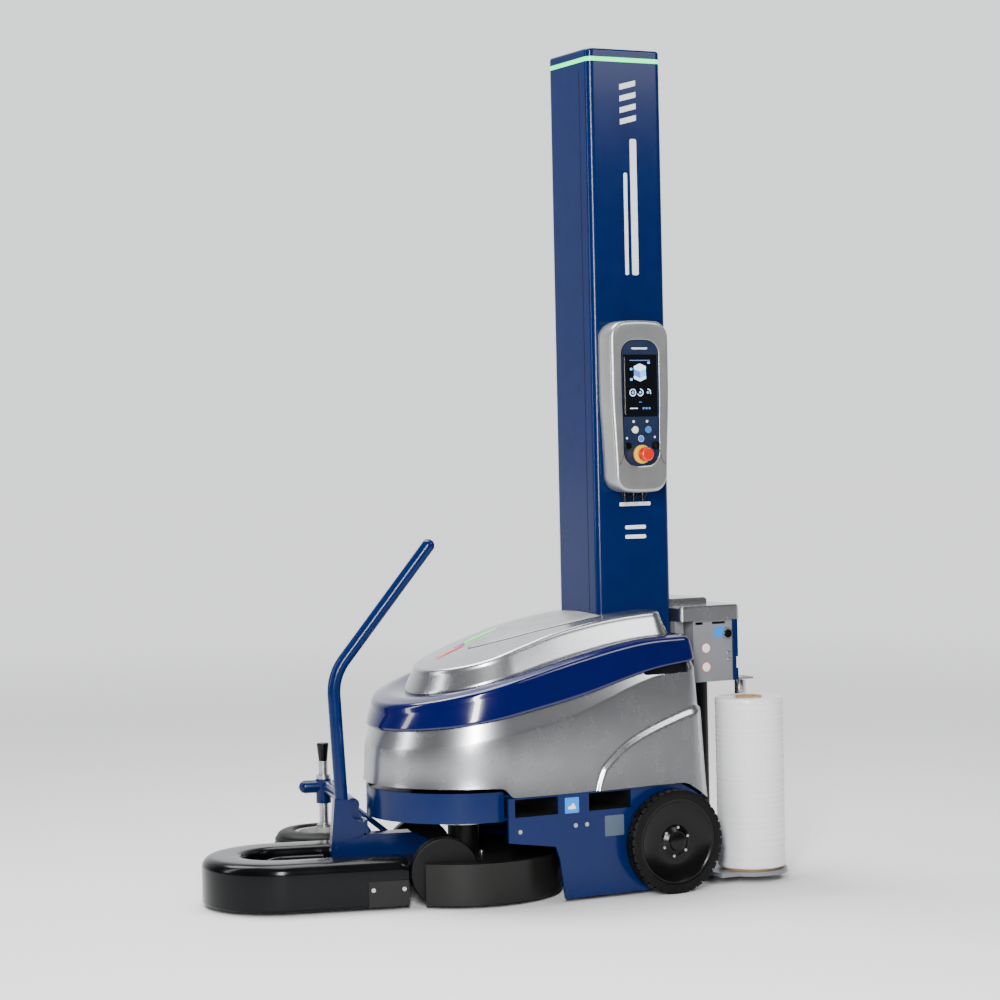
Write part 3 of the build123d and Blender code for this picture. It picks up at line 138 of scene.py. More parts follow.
seam_z = line_of([(0.018, 0.493), (0.165, 0.511), (0.36, 0.541), (0.555, 0.577), (0.797, 0.635),
                  (0.958, 0.655), (1.1, 0.661)])
band_z = line_of([(0.0, 0.553), (0.036, 0.562), (0.165, 0.592), (0.36, 0.637), (0.566, 0.683),
                  (0.778, 0.719), (0.962, 0.727), (1.1, 0.728)])
cover_z = line_of([(0.10, 0.628), (0.147, 0.646), (0.288, 0.678), (0.42, 0.718), (0.543, 0.752),
                   (0.717, 0.781), (0.899, 0.795), (1.1, 0.799)])
hem_z = line_of([(0.0, 0.336), (0.27, 0.336), (0.287, 0.330), (0.305, 0.311), (0.32, 0.308), (0.6, 0.308),
                 (0.89, 0.310), (0.915, 0.304), (0.95, 0.282), (0.98, 0.260), (1.0, 0.256)])


# ---------- materials
class Shading:
    """Adds nodes to a node tree and links them."""

    def __init__(self, tree):
        self.tree = tree

    def add(self, kind, **values):
        node = self.tree.nodes.new(kind)
        for key, value in values.items():
            setattr(node, key, value)
        return node

    def link(self, a, b):
        self.tree.links.new(a, b)

    def ramp(self, source, low, high, at_low, at_high, kind="LINEAR"):
        """Turns low..high of a source into at_low..at_high."""
        node = self.add("ShaderNodeMapRange", interpolation_type=kind)
        names = ("From Min", "From Max", "To Min", "To Max")
        for name, value in zip(names, (low, high, at_low, at_high)):
            node.inputs[name].default_value = value
        self.link(source, node.inputs["Value"])
        return node.outputs["Result"]

    def along(self, place, direction):
        """How far a place, or a direction, lies along a direction."""
        node = self.add("ShaderNodeVectorMath", operation="DOT_PRODUCT")
        node.inputs[1].default_value = direction
        self.link(place, node.inputs[0])
        return node.outputs["Value"]

    def seen(self, otherwise, to_camera):
        """One value for what the camera sees directly, and another for light and reflections."""
        node = self.add("ShaderNodeMix")
        self.link(self.add("ShaderNodeLightPath").outputs["Is Camera Ray"], node.inputs["Factor"])
        self.link(otherwise, node.inputs["A"])
        if isinstance(to_camera, float):
            node.inputs["B"].default_value = to_camera
        else:
            self.link(to_camera, node.inputs["B"])
        return node.outputs["Result"]


def material(name, color, rough, metallic=0.0, bump=0.0, bump_scale=400.0, vary=0.12, vary_scale=18.0,
             coat=0.0, coat_rough=0.08, rough_vary=0.08, stretch=(1, 1, 1), dust=0.0, flake=0.0, emit=0.0,
             spec=0.5):
    """A painted, moulded or rubbery surface with fine grain, patchy tone and uneven gloss."""
    mat = bpy.data.materials.new(name)
    mat.use_nodes = True
    nodes = Shading(mat.node_tree)
    add, link = nodes.add, nodes.link
    shader = mat.node_tree.nodes["Principled BSDF"]
    place = add("ShaderNodeTexCoord").outputs["Object"]
    mapping = add("ShaderNodeMapping")
    mapping.inputs["Scale"].default_value = stretch
    link(place, mapping.inputs["Vector"])

    def noise(scale, detail):
        node = add("ShaderNodeTexNoise")
        node.inputs["Scale"].default_value = scale
        node.inputs["Detail"].default_value = detail
        link(mapping.outputs["Vector"], node.inputs["Vector"])
        return node.outputs["Fac"]

    patches = noise(vary_scale, 5.0)
    tone = add("ShaderNodeValToRGB")
    for element, spot, share in zip(tone.color_ramp.elements, (0.3, 0.72), (1 - vary, 1 + vary)):
        element.position = spot
        element.color = (*[min(1, c * share) for c in color], 1)
    link(patches, tone.inputs["Fac"])
    result = tone.outputs["Color"]
    if flake:
        cells = add("ShaderNodeTexVoronoi")
        cells.inputs["Scale"].default_value = 900.0
        link(place, cells.inputs["Vector"])
        mix = add("ShaderNodeMix", data_type="RGBA", blend_type="MULTIPLY")
        mix.inputs["Factor"].default_value = 1.0
        link(result, mix.inputs["A"])
        link(nodes.ramp(cells.outputs["Color"], 0.0, 1.0, 1 - flake, 1 + flake), mix.inputs["B"])
        result = mix.outputs["Result"]
    if dust:
        split = add("ShaderNodeSeparateXYZ")
        link(add("ShaderNodeNewGeometry").outputs["Normal"], split.inputs["Vector"])
        speck = add("ShaderNodeMath", operation="MULTIPLY")
        link(nodes.ramp(split.outputs["Z"], 0.35, 1.0, 0.0, dust), speck.inputs[0])
        link(patches, speck.inputs[1])
        mix = add("ShaderNodeMix", data_type="RGBA")
        link(speck.outputs["Value"], mix.inputs["Factor"])
        link(result, mix.inputs["A"])
        mix.inputs["B"].default_value = (0.32, 0.31, 0.30, 1)
        result = mix.outputs["Result"]
    link(result, shader.inputs["Base Color"])
    gloss = nodes.ramp(patches, 0.0, 1.0, max(0.02, rough - rough_vary), min(1.0, rough + rough_vary))
    link(gloss, shader.inputs["Roughness"])
    if bump:
        raised = add("ShaderNodeBump")
        raised.inputs["Strength"].default_value = bump
        raised.inputs["Distance"].default_value = 0.0006
        link(noise(bump_scale, 3.0), raised.inputs["Height"])
        link(raised.outputs["Normal"], shader.inputs["Normal"])
    shader.inputs["Metallic"].default_value = metallic
    shader.inputs["Coat Weight"].default_value = coat
    shader.inputs["Coat Roughness"].default_value = coat_rough
    shader.inputs["Specular IOR Level"].default_value = spec
    if emit:
        link(result, shader.inputs["Emission Color"])
        shader.inputs["Emission Strength"].default_value = emit
    return mat


MATS = {
    "blue": material("blue_paint", (0.0003, 0.0090, 0.066), 0.22, bump=0.05, bump_scale=900, coat=0.06,
                     coat_rough=0.10, vary=0.06, spec=0.22, rough_vary=0.04),
    "blue_gloss": material("blue_gloss", (0.0003, 0.0016, 0.056), 0.16, bump=0.015, bump_scale=60, coat=0.55,
                           coat_rough=0.04, vary=0.05, spec=0.35),
    "silver": material("silver_paint", (0.47, 0.475, 0.495), 0.27, metallic=0.97, bump=0.035, bump_scale=1200,
                       vary=0.03, flake=0.14, coat=0.2, coat_rough=0.12, rough_vary=0.02),
    "panel_silver": material("panel_silver", (0.42, 0.425, 0.43), 0.36, metallic=0.85, bump=0.08,
                             bump_scale=1500, vary=0.03, flake=0.10, coat=0.3, coat_rough=0.15,
                             rough_vary=0.04),
    "inlay": material("inlay_grey", (0.36, 0.365, 0.375), 0.45, metallic=0.7, bump=0.10, bump_scale=1400,
                      flake=0.08),
    "black_soft": material("soft_black", (0.0016, 0.0018, 0.0024), 0.17, bump=0.04, bump_scale=700, dust=0.02,
                           vary=0.25, spec=0.17, rough_vary=0.04),
    "black_paint": material("black_paint", (0.0075, 0.0075, 0.0070), 0.34, bump=0.08, bump_scale=1100,
                            dust=0.03, spec=0.24),
    "black_plastic": material("black_plastic", (0.0022, 0.0022, 0.0022), 0.22, bump=0.04, bump_scale=1300,
                              spec=0.22),
    "rubber": material("tyre_rubber", (0.0030, 0.0030, 0.0030), 0.46, bump=0.25, bump_scale=600, dust=0.03,
                       vary=0.3, spec=0.16),
    "steel": material("zinc_steel", (0.50, 0.50, 0.52), 0.32, metallic=1.0, bump=0.08, bump_scale=500,
                      stretch=(1, 1, 8), rough_vary=0.1),
    "chrome": material("polished_roller", (0.75, 0.75, 0.76), 0.12, metallic=1.0, rough_vary=0.05, vary=0.03),
    "grey": material("grey_sheet", (0.17, 0.175, 0.19), 0.42, bump=0.12, bump_scale=1000, vary=0.06),
    "light_grey": material("rim_grey", (0.30, 0.30, 0.29), 0.5, bump=0.2, bump_scale=700, dust=0.2),
    "film": material("wound_film", (0.76, 0.765, 0.77), 0.28, bump=0.03, bump_scale=7, stretch=(0.3, 0.3, 30),
                     vary=0.02, vary_scale=9, coat=0.5, coat_rough=0.07),
    "card": material("cardboard", (0.42, 0.25, 0.10), 0.82, bump=0.5, bump_scale=500, vary=0.15,
                     vary_scale=60),
    "yellow": material("yellow_plastic", (0.80, 0.44, 0.001), 0.35, bump=0.05, vary=0.04),
    "red": material("red_plastic", (0.62, 0.012, 0.001), 0.28, bump=0.05, vary=0.05, coat=0.4),
    "white": material("white_plastic", (0.80, 0.79, 0.75), 0.3, bump=0.05, vary=0.04, coat=0.3),
    "blue_key": material("blue_plastic", (0.04, 0.16, 0.42), 0.3, bump=0.05, vary=0.05, coat=0.3),
    "navy": material("faceplate_navy", (0.006, 0.014, 0.042), 0.34, bump=0.06, bump_scale=1500, vary=0.06),
    "glass": material("screen_glass", (0.001, 0.0015, 0.003), 0.10, vary=0.05, coat=0.6, coat_rough=0.02),
    "decal_white": material("printed_white", (0.78, 0.79, 0.80), 0.42, bump=0.04, vary=0.03),
    "decal_blue": material("printed_blue", (0.01, 0.20, 0.66), 0.4, bump=0.04, vary=0.05),
    "decal_red": material("printed_red", (0.45, 0.02, 0.02), 0.4, bump=0.04, vary=0.05),
    "decal_grey": material("label_grey", (0.06, 0.085, 0.12), 0.45, bump=0.05, vary=0.1),
    # dark seams, grooves and parting lines; the same near-black also serves as painted shade behind the
    # hood's hand slots
    "seam": material("dark_seam_and_slot_shade", (0.002, 0.003, 0.006), 0.7, vary=0.1, spec=0.2),
    "beacon": material("lit_ring", (0.01, 0.85, 0.22), 0.3, vary=0.1, emit=2.2),
    "green_lamp": material("green_lamp", (0.04, 0.90, 0.10), 0.3, vary=0.06, emit=0.9),
    "red_lamp": material("red_lamp", (0.90, 0.035, 0.03), 0.3, vary=0.06, emit=0.35),
    "blue_lamp": material("blue_lamp", (0.06, 0.08, 0.55), 0.3, vary=0.06, emit=0.3),
    "pixel_blue": material("pixel_blue", (0.14, 0.40, 0.92), 0.3, vary=0.04, emit=0.9),
    "pixel_pale": material("pixel_pale", (0.55, 0.76, 1.0), 0.3, vary=0.04, emit=0.9),
    "pixel_dark": material("pixel_dark", (0.06, 0.18, 0.50), 0.3, vary=0.04, emit=0.7),
}


def dress(mat, *names):
    """Gives CAD nodes their material."""
    for name in names:
        node = NODES[name]
        node.data.materials.clear()
        node.data.materials.append(MATS[mat])


# ---------- mesh helpers
def piece(name, verts, faces, mat, body, hides=(), sharp=35.0):
    """A mesh piece that rides on a body and may stand for CAD nodes."""
    mesh = bpy.data.meshes.new(name)
    mesh.from_pydata([tuple(v) for v in verts], [], faces)
    mesh.validate()
    work = bmesh.new()
    work.from_mesh(mesh)
    bmesh.ops.remove_doubles(work, verts=work.verts, dist=1e-6)
    bmesh.ops.recalc_face_normals(work, faces=work.faces)
    work.to_mesh(mesh)
    work.free()
    mesh.materials.append(MATS[mat])
    thing = bpy.data.objects.new(name, mesh)
    bpy.context.scene.collection.objects.link(thing)
    mesh.shade_smooth()
    mesh.set_sharp_from_angle(angle=math.radians(sharp))
    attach(thing, body)
    if hides:
        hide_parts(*hides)
    return thing


def grid(name, rows, mat, body, hides=(), loop=False, caps=False, sharp=35.0, thick=0.0):
    """A surface through rows of points; loop closes each row, caps close the first and last rows."""
    width = len(rows[0])
    verts = [v for row in rows for v in row]
    faces = []
    span = width if loop else width - 1
    for r in range(len(rows) - 1):
        for c in range(span):
            d = (c + 1) % width
            faces.append((r * width + c, r * width + d, (r + 1) * width + d, (r + 1) * width + c))
    if caps:
        faces.append(tuple(range(width)))
        faces.append(tuple((len(rows) - 1) * width + c for c in range(width)))
    thing = piece(name, verts, faces, mat, body, hides, sharp)
    if thick:
        wall = thing.modifiers.new("wall", "SOLIDIFY")
        wall.thickness = thick
        wall.offset = -1.0
    return thing


def lathe(name, profile, centre, axis, mat, body, hides=(), steps=96, sharp=35.0):
    """Turns (radius, height) points round an axis through a centre; the profile is closed."""
    axis = Vector(axis).normalized()
    side = axis.orthogonal().normalized()
    other = axis.cross(side)
    rows = []
    for i in range(steps):
        a = 2 * math.pi * i / steps
        out = side * math.cos(a) + other * math.sin(a)
        rows.append([centre + out * r + axis * h for r, h in profile])
    rows.append(rows[0])
    return grid(name, rows, mat, body, hides, loop=True, sharp=sharp)


def plate_piece(name, outline, across, up, out, origin, depth, mat, body):
    """A thin plate: (a, b) outline points laid along two directions, standing out by a depth."""
    front = [origin + across * a + up * b + out * depth for a, b in outline]
    back = [origin + across * a + up * b for a, b in outline]
    n = len(outline)
    faces = [tuple(range(n)), tuple(range(2 * n - 1, n - 1, -1))]
    faces += [(i, (i + 1) % n, n + (i + 1) % n, n + i) for i in range(n)]
    return piece(name, front + back, faces, mat, body, sharp=20)


def left_plate(name, outline, origin, depth, mat, body="chassis", hides=()):
    """A thin plate on a face that looks to the machine's left, and may stand for CAD nodes."""
    thing = plate_piece(name, outline, SIDE, UP, LEFT, origin, depth, mat, body)
    if hides:
        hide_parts(*hides)


def rounded(width, height, radius, steps=6, cx=0.0, cy=0.0):
    """A rounded rectangle's outline."""
    points = []
    for sx, sy, start in ((1, 1, 0), (-1, 1, 90), (-1, -1, 180), (1, -1, 270)):
        for i in range(steps + 1):
            a = math.radians(start + 90 * i / steps)
            points.append((cx + sx * (width / 2 - radius) + radius * math.cos(a),
                           cy + sy * (height / 2 - radius) + radius * math.sin(a)))
    return points


def disc(radius, steps=36, cx=0.0, cy=0.0):
    """A circle's outline."""
    turns = [2 * math.pi * i / steps for i in range(steps)]
    return [(cx + radius * math.cos(a), cy + radius * math.sin(a)) for a in turns]


# ---------- hood and covers
def cover_plan(half, nose_centre, rear, corner):
    """A cover's outline from the mast's left side round the nose to its right side, with outward normals."""
    points = []

    def straight(start, end, normal, count):
        for i in range(count):
            t = i / count
            x, y = start[0] + (end[0] - start[0]) * t, start[1] + (end[1] - start[1]) * t
            points.append((x, y, *normal))

    def turn(cx, cy, radius, start, sweep, count):
        for i in range(count):
            a = math.radians(start + sweep * i / count)
            points.append((cx + radius * math.cos(a), cy + radius * math.sin(a), math.cos(a), math.sin(a)))

    straight((rear, -GAP_Y), (rear, corner - half), (1, 0), 10)
    turn(rear - corner, corner - half, corner, 0, -90, 20)
    straight((rear - corner, -half), (nose_centre, -half), (0, -1), 150)
    turn(nose_centre, 0, half, -90, -180, 110)
    straight((nose_centre, half), (rear - corner, half), (0, 1), 150)
    turn(rear - corner, half - corner, corner, 90, -90, 20)
    straight((rear, half - corner), (rear, GAP_Y), (1, 0), 10)
    points.append((rear, GAP_Y, 1, 0))
    return points


HOOD_PLAN = cover_plan(HALF, NOSE + HALF, REAR, HOOD_CORNER)
# column for column with the hood's
COVER_PLAN = cover_plan(COVER_HALF, COVER_NOSE, COVER_REAR, COVER_CORNER)


def hood_point(column, z, proud=0.0):
    """A point on the lower hood's leaning wall."""
    x, y, nx, ny = column
    lean = (z - HEM) / RISE
    inset = LEAN * lean - proud
    return Vector((x - nx * inset + NOSE_LEAN * lean * max(0.0, -nx), y - ny * inset, z))


FLARE = 0.0085                      # how far the wheel-arch panel stands proud
ARCH = [(0.255, 0.270), (0.263, 0.300), (0.273, 0.335), (0.292, 0.372), (0.383, 0.440), (0.540, 0.500),
        (0.637, 0.523), (0.70, 0.535)]


def flare(x, z):
    """How far the wheel-arch panel stands proud: it lies below and behind a rising curve."""
    if x < ARCH[0][0] - 0.02:
        return 0.0
    edge = follow(ARCH, x)
    slope = (follow(ARCH, x + 0.002) - follow(ARCH, x - 0.002)) / 0.004
    away = (edge - z) / math.sqrt(1 + slope * slope)
    return FLARE * smooth((away + 0.004) / 0.012)


def build_lower_hood():
    """The silver hood: leaning wall, soft shoulder under the band, flared arch and hand slots."""
    slot_low, slot_half, slot_x = 0.622, 0.072, 0.516
    shoulder_bulge = 0.0075
    rows = []
    count = 64
    for r in range(-2, count + 1):
        row = []
        for column in HOOD_PLAN:
            x = column[0]
            low, high = hem_z(x), seam_z(x)
            shoulder = 0.050 - 0.030 * smooth((x - 0.1) / 0.45)
            share = max(0, r) / count
            split = 1 - shoulder / (high - low)
            share = share * split / 0.8 if share < 0.8 else split + (share - 0.8) / 0.2 * (1 - split)
            z = low + share * (high - low)
            bulge = shoulder_bulge * (
                smooth(share / split) if share < split else 1 - (share - split) / (1 - split))
            if abs(x - slot_x) < slot_half and z > slot_low and abs(column[3]) > 0.9:
                z = slot_low
            proud = bulge + (flare(x, z) if abs(column[3]) > 0.3 or x > 0.5 else 0.0)
            if r < 0:
                proud -= 0.003 if r == -1 else 0.010
                z += 0.0005 if r == -1 else 0.003
            p = hood_point(column, z, proud)
            row.append(at(p.x, p.y, p.z))
        rows.append(row)
    grid("hood_shell", rows, "silver", "chassis", ("lower_hood",), thick=SHELL_WALL, sharp=40)
    # behind each hand slot, a near-black sheet of the seam material: painted shade for the slot's dark inside
    inner = HALF - 0.029
    for i, sign in enumerate((-1, 1)):
        a = at(slot_x - slot_half - 0.01, sign * inner * 0.965, slot_low - 0.02)
        b = at(slot_x + slot_half + 0.01, sign * inner * 0.955, 0.66)
        verts = [a, Vector((b.x, a.y, a.z)), b, Vector((a.x, b.y, b.z))]
        back = [v + Vector((0, -sign * 0.004, 0)) for v in verts]
        faces = [(0, 1, 2, 3), (7, 6, 5, 4)]
        faces += [(k, (k + 1) % 4, 4 + (k + 1) % 4, 4 + k) for k in range(4)]
        piece(f"hand_slot_painted_shade_{i}", verts + back, faces, "seam", "chassis")


def build_band():
    """The glossy blue band: a proud wall with a rounded brow, and the ledge round the upper cover."""
    lip, brow, proud, nose_proud = 0.0035, 0.016, 0.011, 0.003
    rows = []

    def row(make):
        rows.append([make(i, column) for i, column in enumerate(HOOD_PLAN)])

    def wall(depth, lift):
        def make(i, column):
            z0 = seam_z(column[0])
            p = hood_point(column, z0, proud - depth)
            return at(p.x, p.y, z0 + lift)
        return make

    row(wall(0.012, 0.004))
    row(wall(0.004, 0.000))
    row(wall(0.001, 0.001))
    row(wall(0.0, lip))

    def side(share):
        def make(i, column):
            x = column[0]
            z0, z1 = seam_z(x) + lip, band_z(x) - brow
            nose = max(0.0, -column[2])
            p = hood_point(column, seam_z(x), proud - (proud + nose_proud * nose) * share ** 1.3)
            return at(p.x, p.y, z0 + (z1 - z0) * share)
        return make

    for s in range(1, 13):
        row(side(s / 12))
    for s in range(1, 8):
        a = math.pi / 2 * s / 7

        def make(i, column, a=a):
            x = column[0]
            nose = max(0.0, -column[2])
            depth = proud + nose_proud * nose + brow * (1 - math.cos(a))
            p = hood_point(column, seam_z(x), proud - depth)
            return at(p.x, p.y, band_z(p.x) - brow + brow * math.sin(a))
        row(make)
    edge = [Vector(v) for v in rows[-1]]
    for s in range(1, 15):
        t = s / 14

        def make(i, column, t=t):
            a = edge[i]
            c = COVER_PLAN[i]
            b = at(c[0] - c[2] * 0.012, c[1] - c[3] * 0.012, 0)
            p = a.lerp(b, t)
            dip = 0.004 * math.sin(math.pi * min(1, t / 0.6)) - 0.007 * smooth((t - 0.55) / 0.45)
            return Vector((p.x, p.y, band_z(p.x - STEER.x) + dip))
        row(make)
    grid("band_shell", rows, "blue_gloss", "chassis", ("band_cover",), thick=SHELL_WALL, sharp=45)


def build_upper_cover():
    """The silver top cover: a leaning wall, a rounded crease and a gently crowned top."""
    brow, crown, inward = 0.012, 0.010, 0.024
    rows = []

    def put(inset, z_of):
        row = []
        for c in COVER_PLAN:
            x = c[0] - c[2] * inset
            row.append(at(x, c[1] - c[3] * inset, z_of(x)))
        rows.append(row)

    put(0.004, lambda x: band_z(x) - 0.010)
    put(0.0, lambda x: band_z(x) - 0.004)
    for s in range(0, 11):
        t = s / 10
        put(inward * t, lambda x, t=t: band_z(x) + 0.001 + (cover_z(x) - brow - band_z(x) - 0.001) * t)
    for s in range(1, 7):
        a = math.pi / 2 * s / 6
        put(inward + brow * (1 - math.cos(a)), lambda x, a=a: cover_z(x) - brow + brow * math.sin(a))
    edge = [Vector(v) for v in rows[-1]]
    for s in range(1, 17):
        t = s / 16
        row = []
        for i, c in enumerate(COVER_PLAN):
            spine = at(min(max(c[0], 0.02), REAR - 0.16), 0.0, 0.0)
            p = edge[i].lerp(spine, t)
            row.append(Vector((p.x, p.y, cover_z(p.x - STEER.x) + crown * math.sin(math.pi / 2 * t))))
        rows.append(row)
    grid("cover_shell", rows, "silver", "chassis", ("upper_cover",), sharp=40)


def top_point(x, y, lift):
    """A point on the upper cover's crowned top."""
    t = 1 - min(1.0, abs(y) / 0.186)
    return at(x, y, cover_z(x) + 0.010 * math.sin(math.pi / 2 * t) + lift)


def build_inlay():
    """The darker inlay on top, with a fine groove round it, and the three status lights."""
    front, rear = 0.03, MAST_LOW.x - STEER.x - 0.004

    def half(x, grow):
        t = min(1.0, max(0.0, (x - front + grow) / 0.30))
        return 0.142 * math.sin(math.pi / 2 * t) ** 0.8 + grow

    layers = (("inlay_groove", 0.0022, 0.0006, "seam"), ("inlay_panel", 0.0, 0.0014, "inlay"))
    for name, grow, lift, mat in layers:
        rows = []
        for i in range(61):
            x = front - grow + (rear - front + grow) * (i / 60) ** 1.25
            w = half(x, grow)
            rows.append([top_point(x, -w + 2 * w * k / 24, lift) for k in range(25)])
        grid(name, rows, mat, "chassis", ("top_inlay",) if mat == "inlay" else (), thick=0.0006)
    lamps = (("lamp_green", 0.060, 0.172, 0.098, "green_lamp"),
             ("lamp_blue", 0.020, 0.058, 0.084, "blue_lamp"),
             ("lamp_red", -0.052, 0.046, 0.058, "red_lamp"))
    for name, x0, x1, y, mat in lamps:
        rows = []
        for i in range(17):
            t = i / 16
            x = x0 + (x1 - x0) * t
            w = 0.0075 * math.sin(math.pi * (0.08 + 0.84 * t)) ** 0.5
            rows.append([top_point(x, y - w + 0.012 * (t - 0.5) + 2 * w * k / 4, 0.0020) for k in range(5)])
        grid(name, rows, mat, "chassis", ("status_lights",) if mat == "green_lamp" else (), thick=0.0008)


# ---------- mast
def build_mast_trim():
    """The folded seam down the mast's front and the plain white graphics on its left side."""
    depth = MAST_HIGH.x - MAST_LOW.x
    low, high = COVER_HIGH.z + 0.002, MAST_HIGH.z - 0.02
    seam_y, w = MAST_LOW.y + 0.055, 0.0022
    plate_piece("mast_seam_0", [(-w / 2, 0), (w / 2, 0), (w / 2, high - low), (-w / 2, high - low)],
                Vector((0, 1, 0)), UP, -SIDE, Vector((MAST_LOW.x, seam_y, low)), PRINT, "seam", "chassis")
    face = Vector((MAST_LOW.x + depth * 0.52, MAST_LOW.y, 0.0))

    def mark(name, outline):
        left_plate(name, outline, face, PRINT, "decal_white")

    # a generic mark: two upright bars and a column of slanted dashes
    mark("mast_bar_long", rounded(0.022, 0.40, 0.006, cx=0.018, cy=1.98))
    mark("mast_bar_short", rounded(0.012, 0.30, 0.005, cx=-0.010, cy=1.93))
    for i in range(4):
        z = 2.235 + i * 0.034
        mark(f"mast_dash_{i}", [(-0.024, z - 0.014), (0.030, z), (0.030, z + 0.016), (-0.024, z + 0.002)])
    for i, (w, z) in enumerate(((0.105, 1.108), (0.070, 1.040), (0.070, 1.012))):
        mark(f"mast_line_{i}", rounded(w, 0.011, 0.004, cx=0.0, cy=z))


# ---------- operator panel
def panel_ring(width, height, radius, taper, arch, inset):
    """A closed outline round the panel's middle: rounded corners, arched ends, narrower at its foot."""
    half, rise, r = width / 2 - inset, height / 2 - inset, max(0.004, radius - inset)

    def reach(z):
        return 1 - taper * smooth((0.15 - z / height) / 0.6)

    right = [((half - r) * k / 6, -rise) for k in range(7)]
    right += [(half - r + r * math.cos(math.radians(a)), r - rise + r * math.sin(math.radians(a)))
              for a in range(-75, 0, 15)]
    right += [(half, (r - rise) + 2 * (rise - r) * k / 24) for k in range(25)]
    right += [(half - r + r * math.cos(math.radians(a)), rise - r + r * math.sin(math.radians(a)))
              for a in range(15, 90, 15)]
    right += [((half - r) * k / 6, rise) for k in range(6, -1, -1)]
    shaped = []
    for a, b in right:
        bow = arch * (1 - (a / half) ** 2) * max(0.0, abs(b) / rise) ** 8
        shaped.append((a * reach(b), b + math.copysign(bow, b)))
    left = [(-a, b) for a, b in reversed(shaped[1:-1])]
    return shaped + left


def build_panel():
    """The silver panel housing as one smooth shell, from the mast to the faceplate's recess."""
    width, height = PANEL_HIGH.x - PANEL_LOW.x, PANEL_HIGH.z - PANEL_LOW.z - 0.016
    depth = PANEL_HIGH.y - PANEL_LOW.y
    mid = Vector(((PANEL_LOW.x + PANEL_HIGH.x) / 2 + 0.003, PANEL_HIGH.y, (PANEL_LOW.z + PANEL_HIGH.z) / 2))
    face_w, face_h = PLATE_HIGH.x - PLATE_LOW.x, PLATE_HIGH.z - PLATE_LOW.z - 0.016
    face_dz = (PLATE_LOW.z + PLATE_HIGH.z) / 2 - mid.z
    width += 0.008

    def outline(inset):
        return panel_ring(width, height, 0.042, 0.11, 0.008, inset)

    def window(grow):
        return [(a, b + face_dz) for a, b in panel_ring(face_w, face_h, 0.030, 0.05, 0.008, -grow)]

    rows = []
    profile = [(0.012, 0.0), (0.004, 0.12), (0.0, 0.35), (0.0, 0.87)]
    for step in range(1, 8):
        a = math.pi / 2 * step / 7
        profile.append((0.011 * (1 - math.cos(a)), 0.87 + 0.12 * math.sin(a)))
    for inset, y in profile:
        rows.append([mid + Vector((a, -depth * y, b)) for a, b in outline(inset)])
    edge = [Vector(v) for v in rows[-1]]
    inner = window(0.0015)
    for t, y in ((0.30, 0.986), (0.75, 0.975), (0.90, 0.976), (0.97, 0.972), (1.0, 0.962)):
        rows.append([edge[i].lerp(mid + Vector((a, 0, b)), t) for i, (a, b) in enumerate(inner)])
        for v in rows[-1]:
            v.y = mid.y - depth * y
    rows.append([mid + Vector((a, -depth * 0.94, b)) for a, b in inner])
    grid("panel_shell", rows, "panel_silver", "chassis", ("panel_housing",), loop=True, sharp=50)
    origin = Vector((mid.x, PANEL_LOW.y + 0.0040, mid.z))
    left_plate("panel_face", window(0.0), origin, 0.0026, "navy", hides=("panel_faceplate",))
    # two moulded parting lines that curve across the lower corners
    for side in (-1, 1):
        line = []
        for k in range(13):
            t = k / 12
            a = side * (width / 2 * 0.80 * (1 - 0.26 * t))
            b = -height / 2 + 0.075 + 0.045 * t ** 2
            line.append(mid + Vector((a, -depth * (0.9915 - 0.006 * t), b)))
        rows = [[v + Vector((0, -0.0006, lift)) for v in line] for lift in (-0.0007, 0.0007)]
        grid(f"panel_parting_{(side + 1) // 2}", rows, "seam", "chassis", thick=0.0008)
    gland = [(0.0, 0.0), (0.011, 0.0), (0.011, 0.014), (0.007, 0.018), (0.007, 0.030), (0.0, 0.030)]
    for k in range(3):
        foot = mid + Vector((-0.030 + 0.030 * k, -depth * 0.42, -height / 2 - 0.004))
        lathe(f"panel_gland_{k}", gland, foot, (0, 0, -1), "black_plastic", "chassis", steps=20)


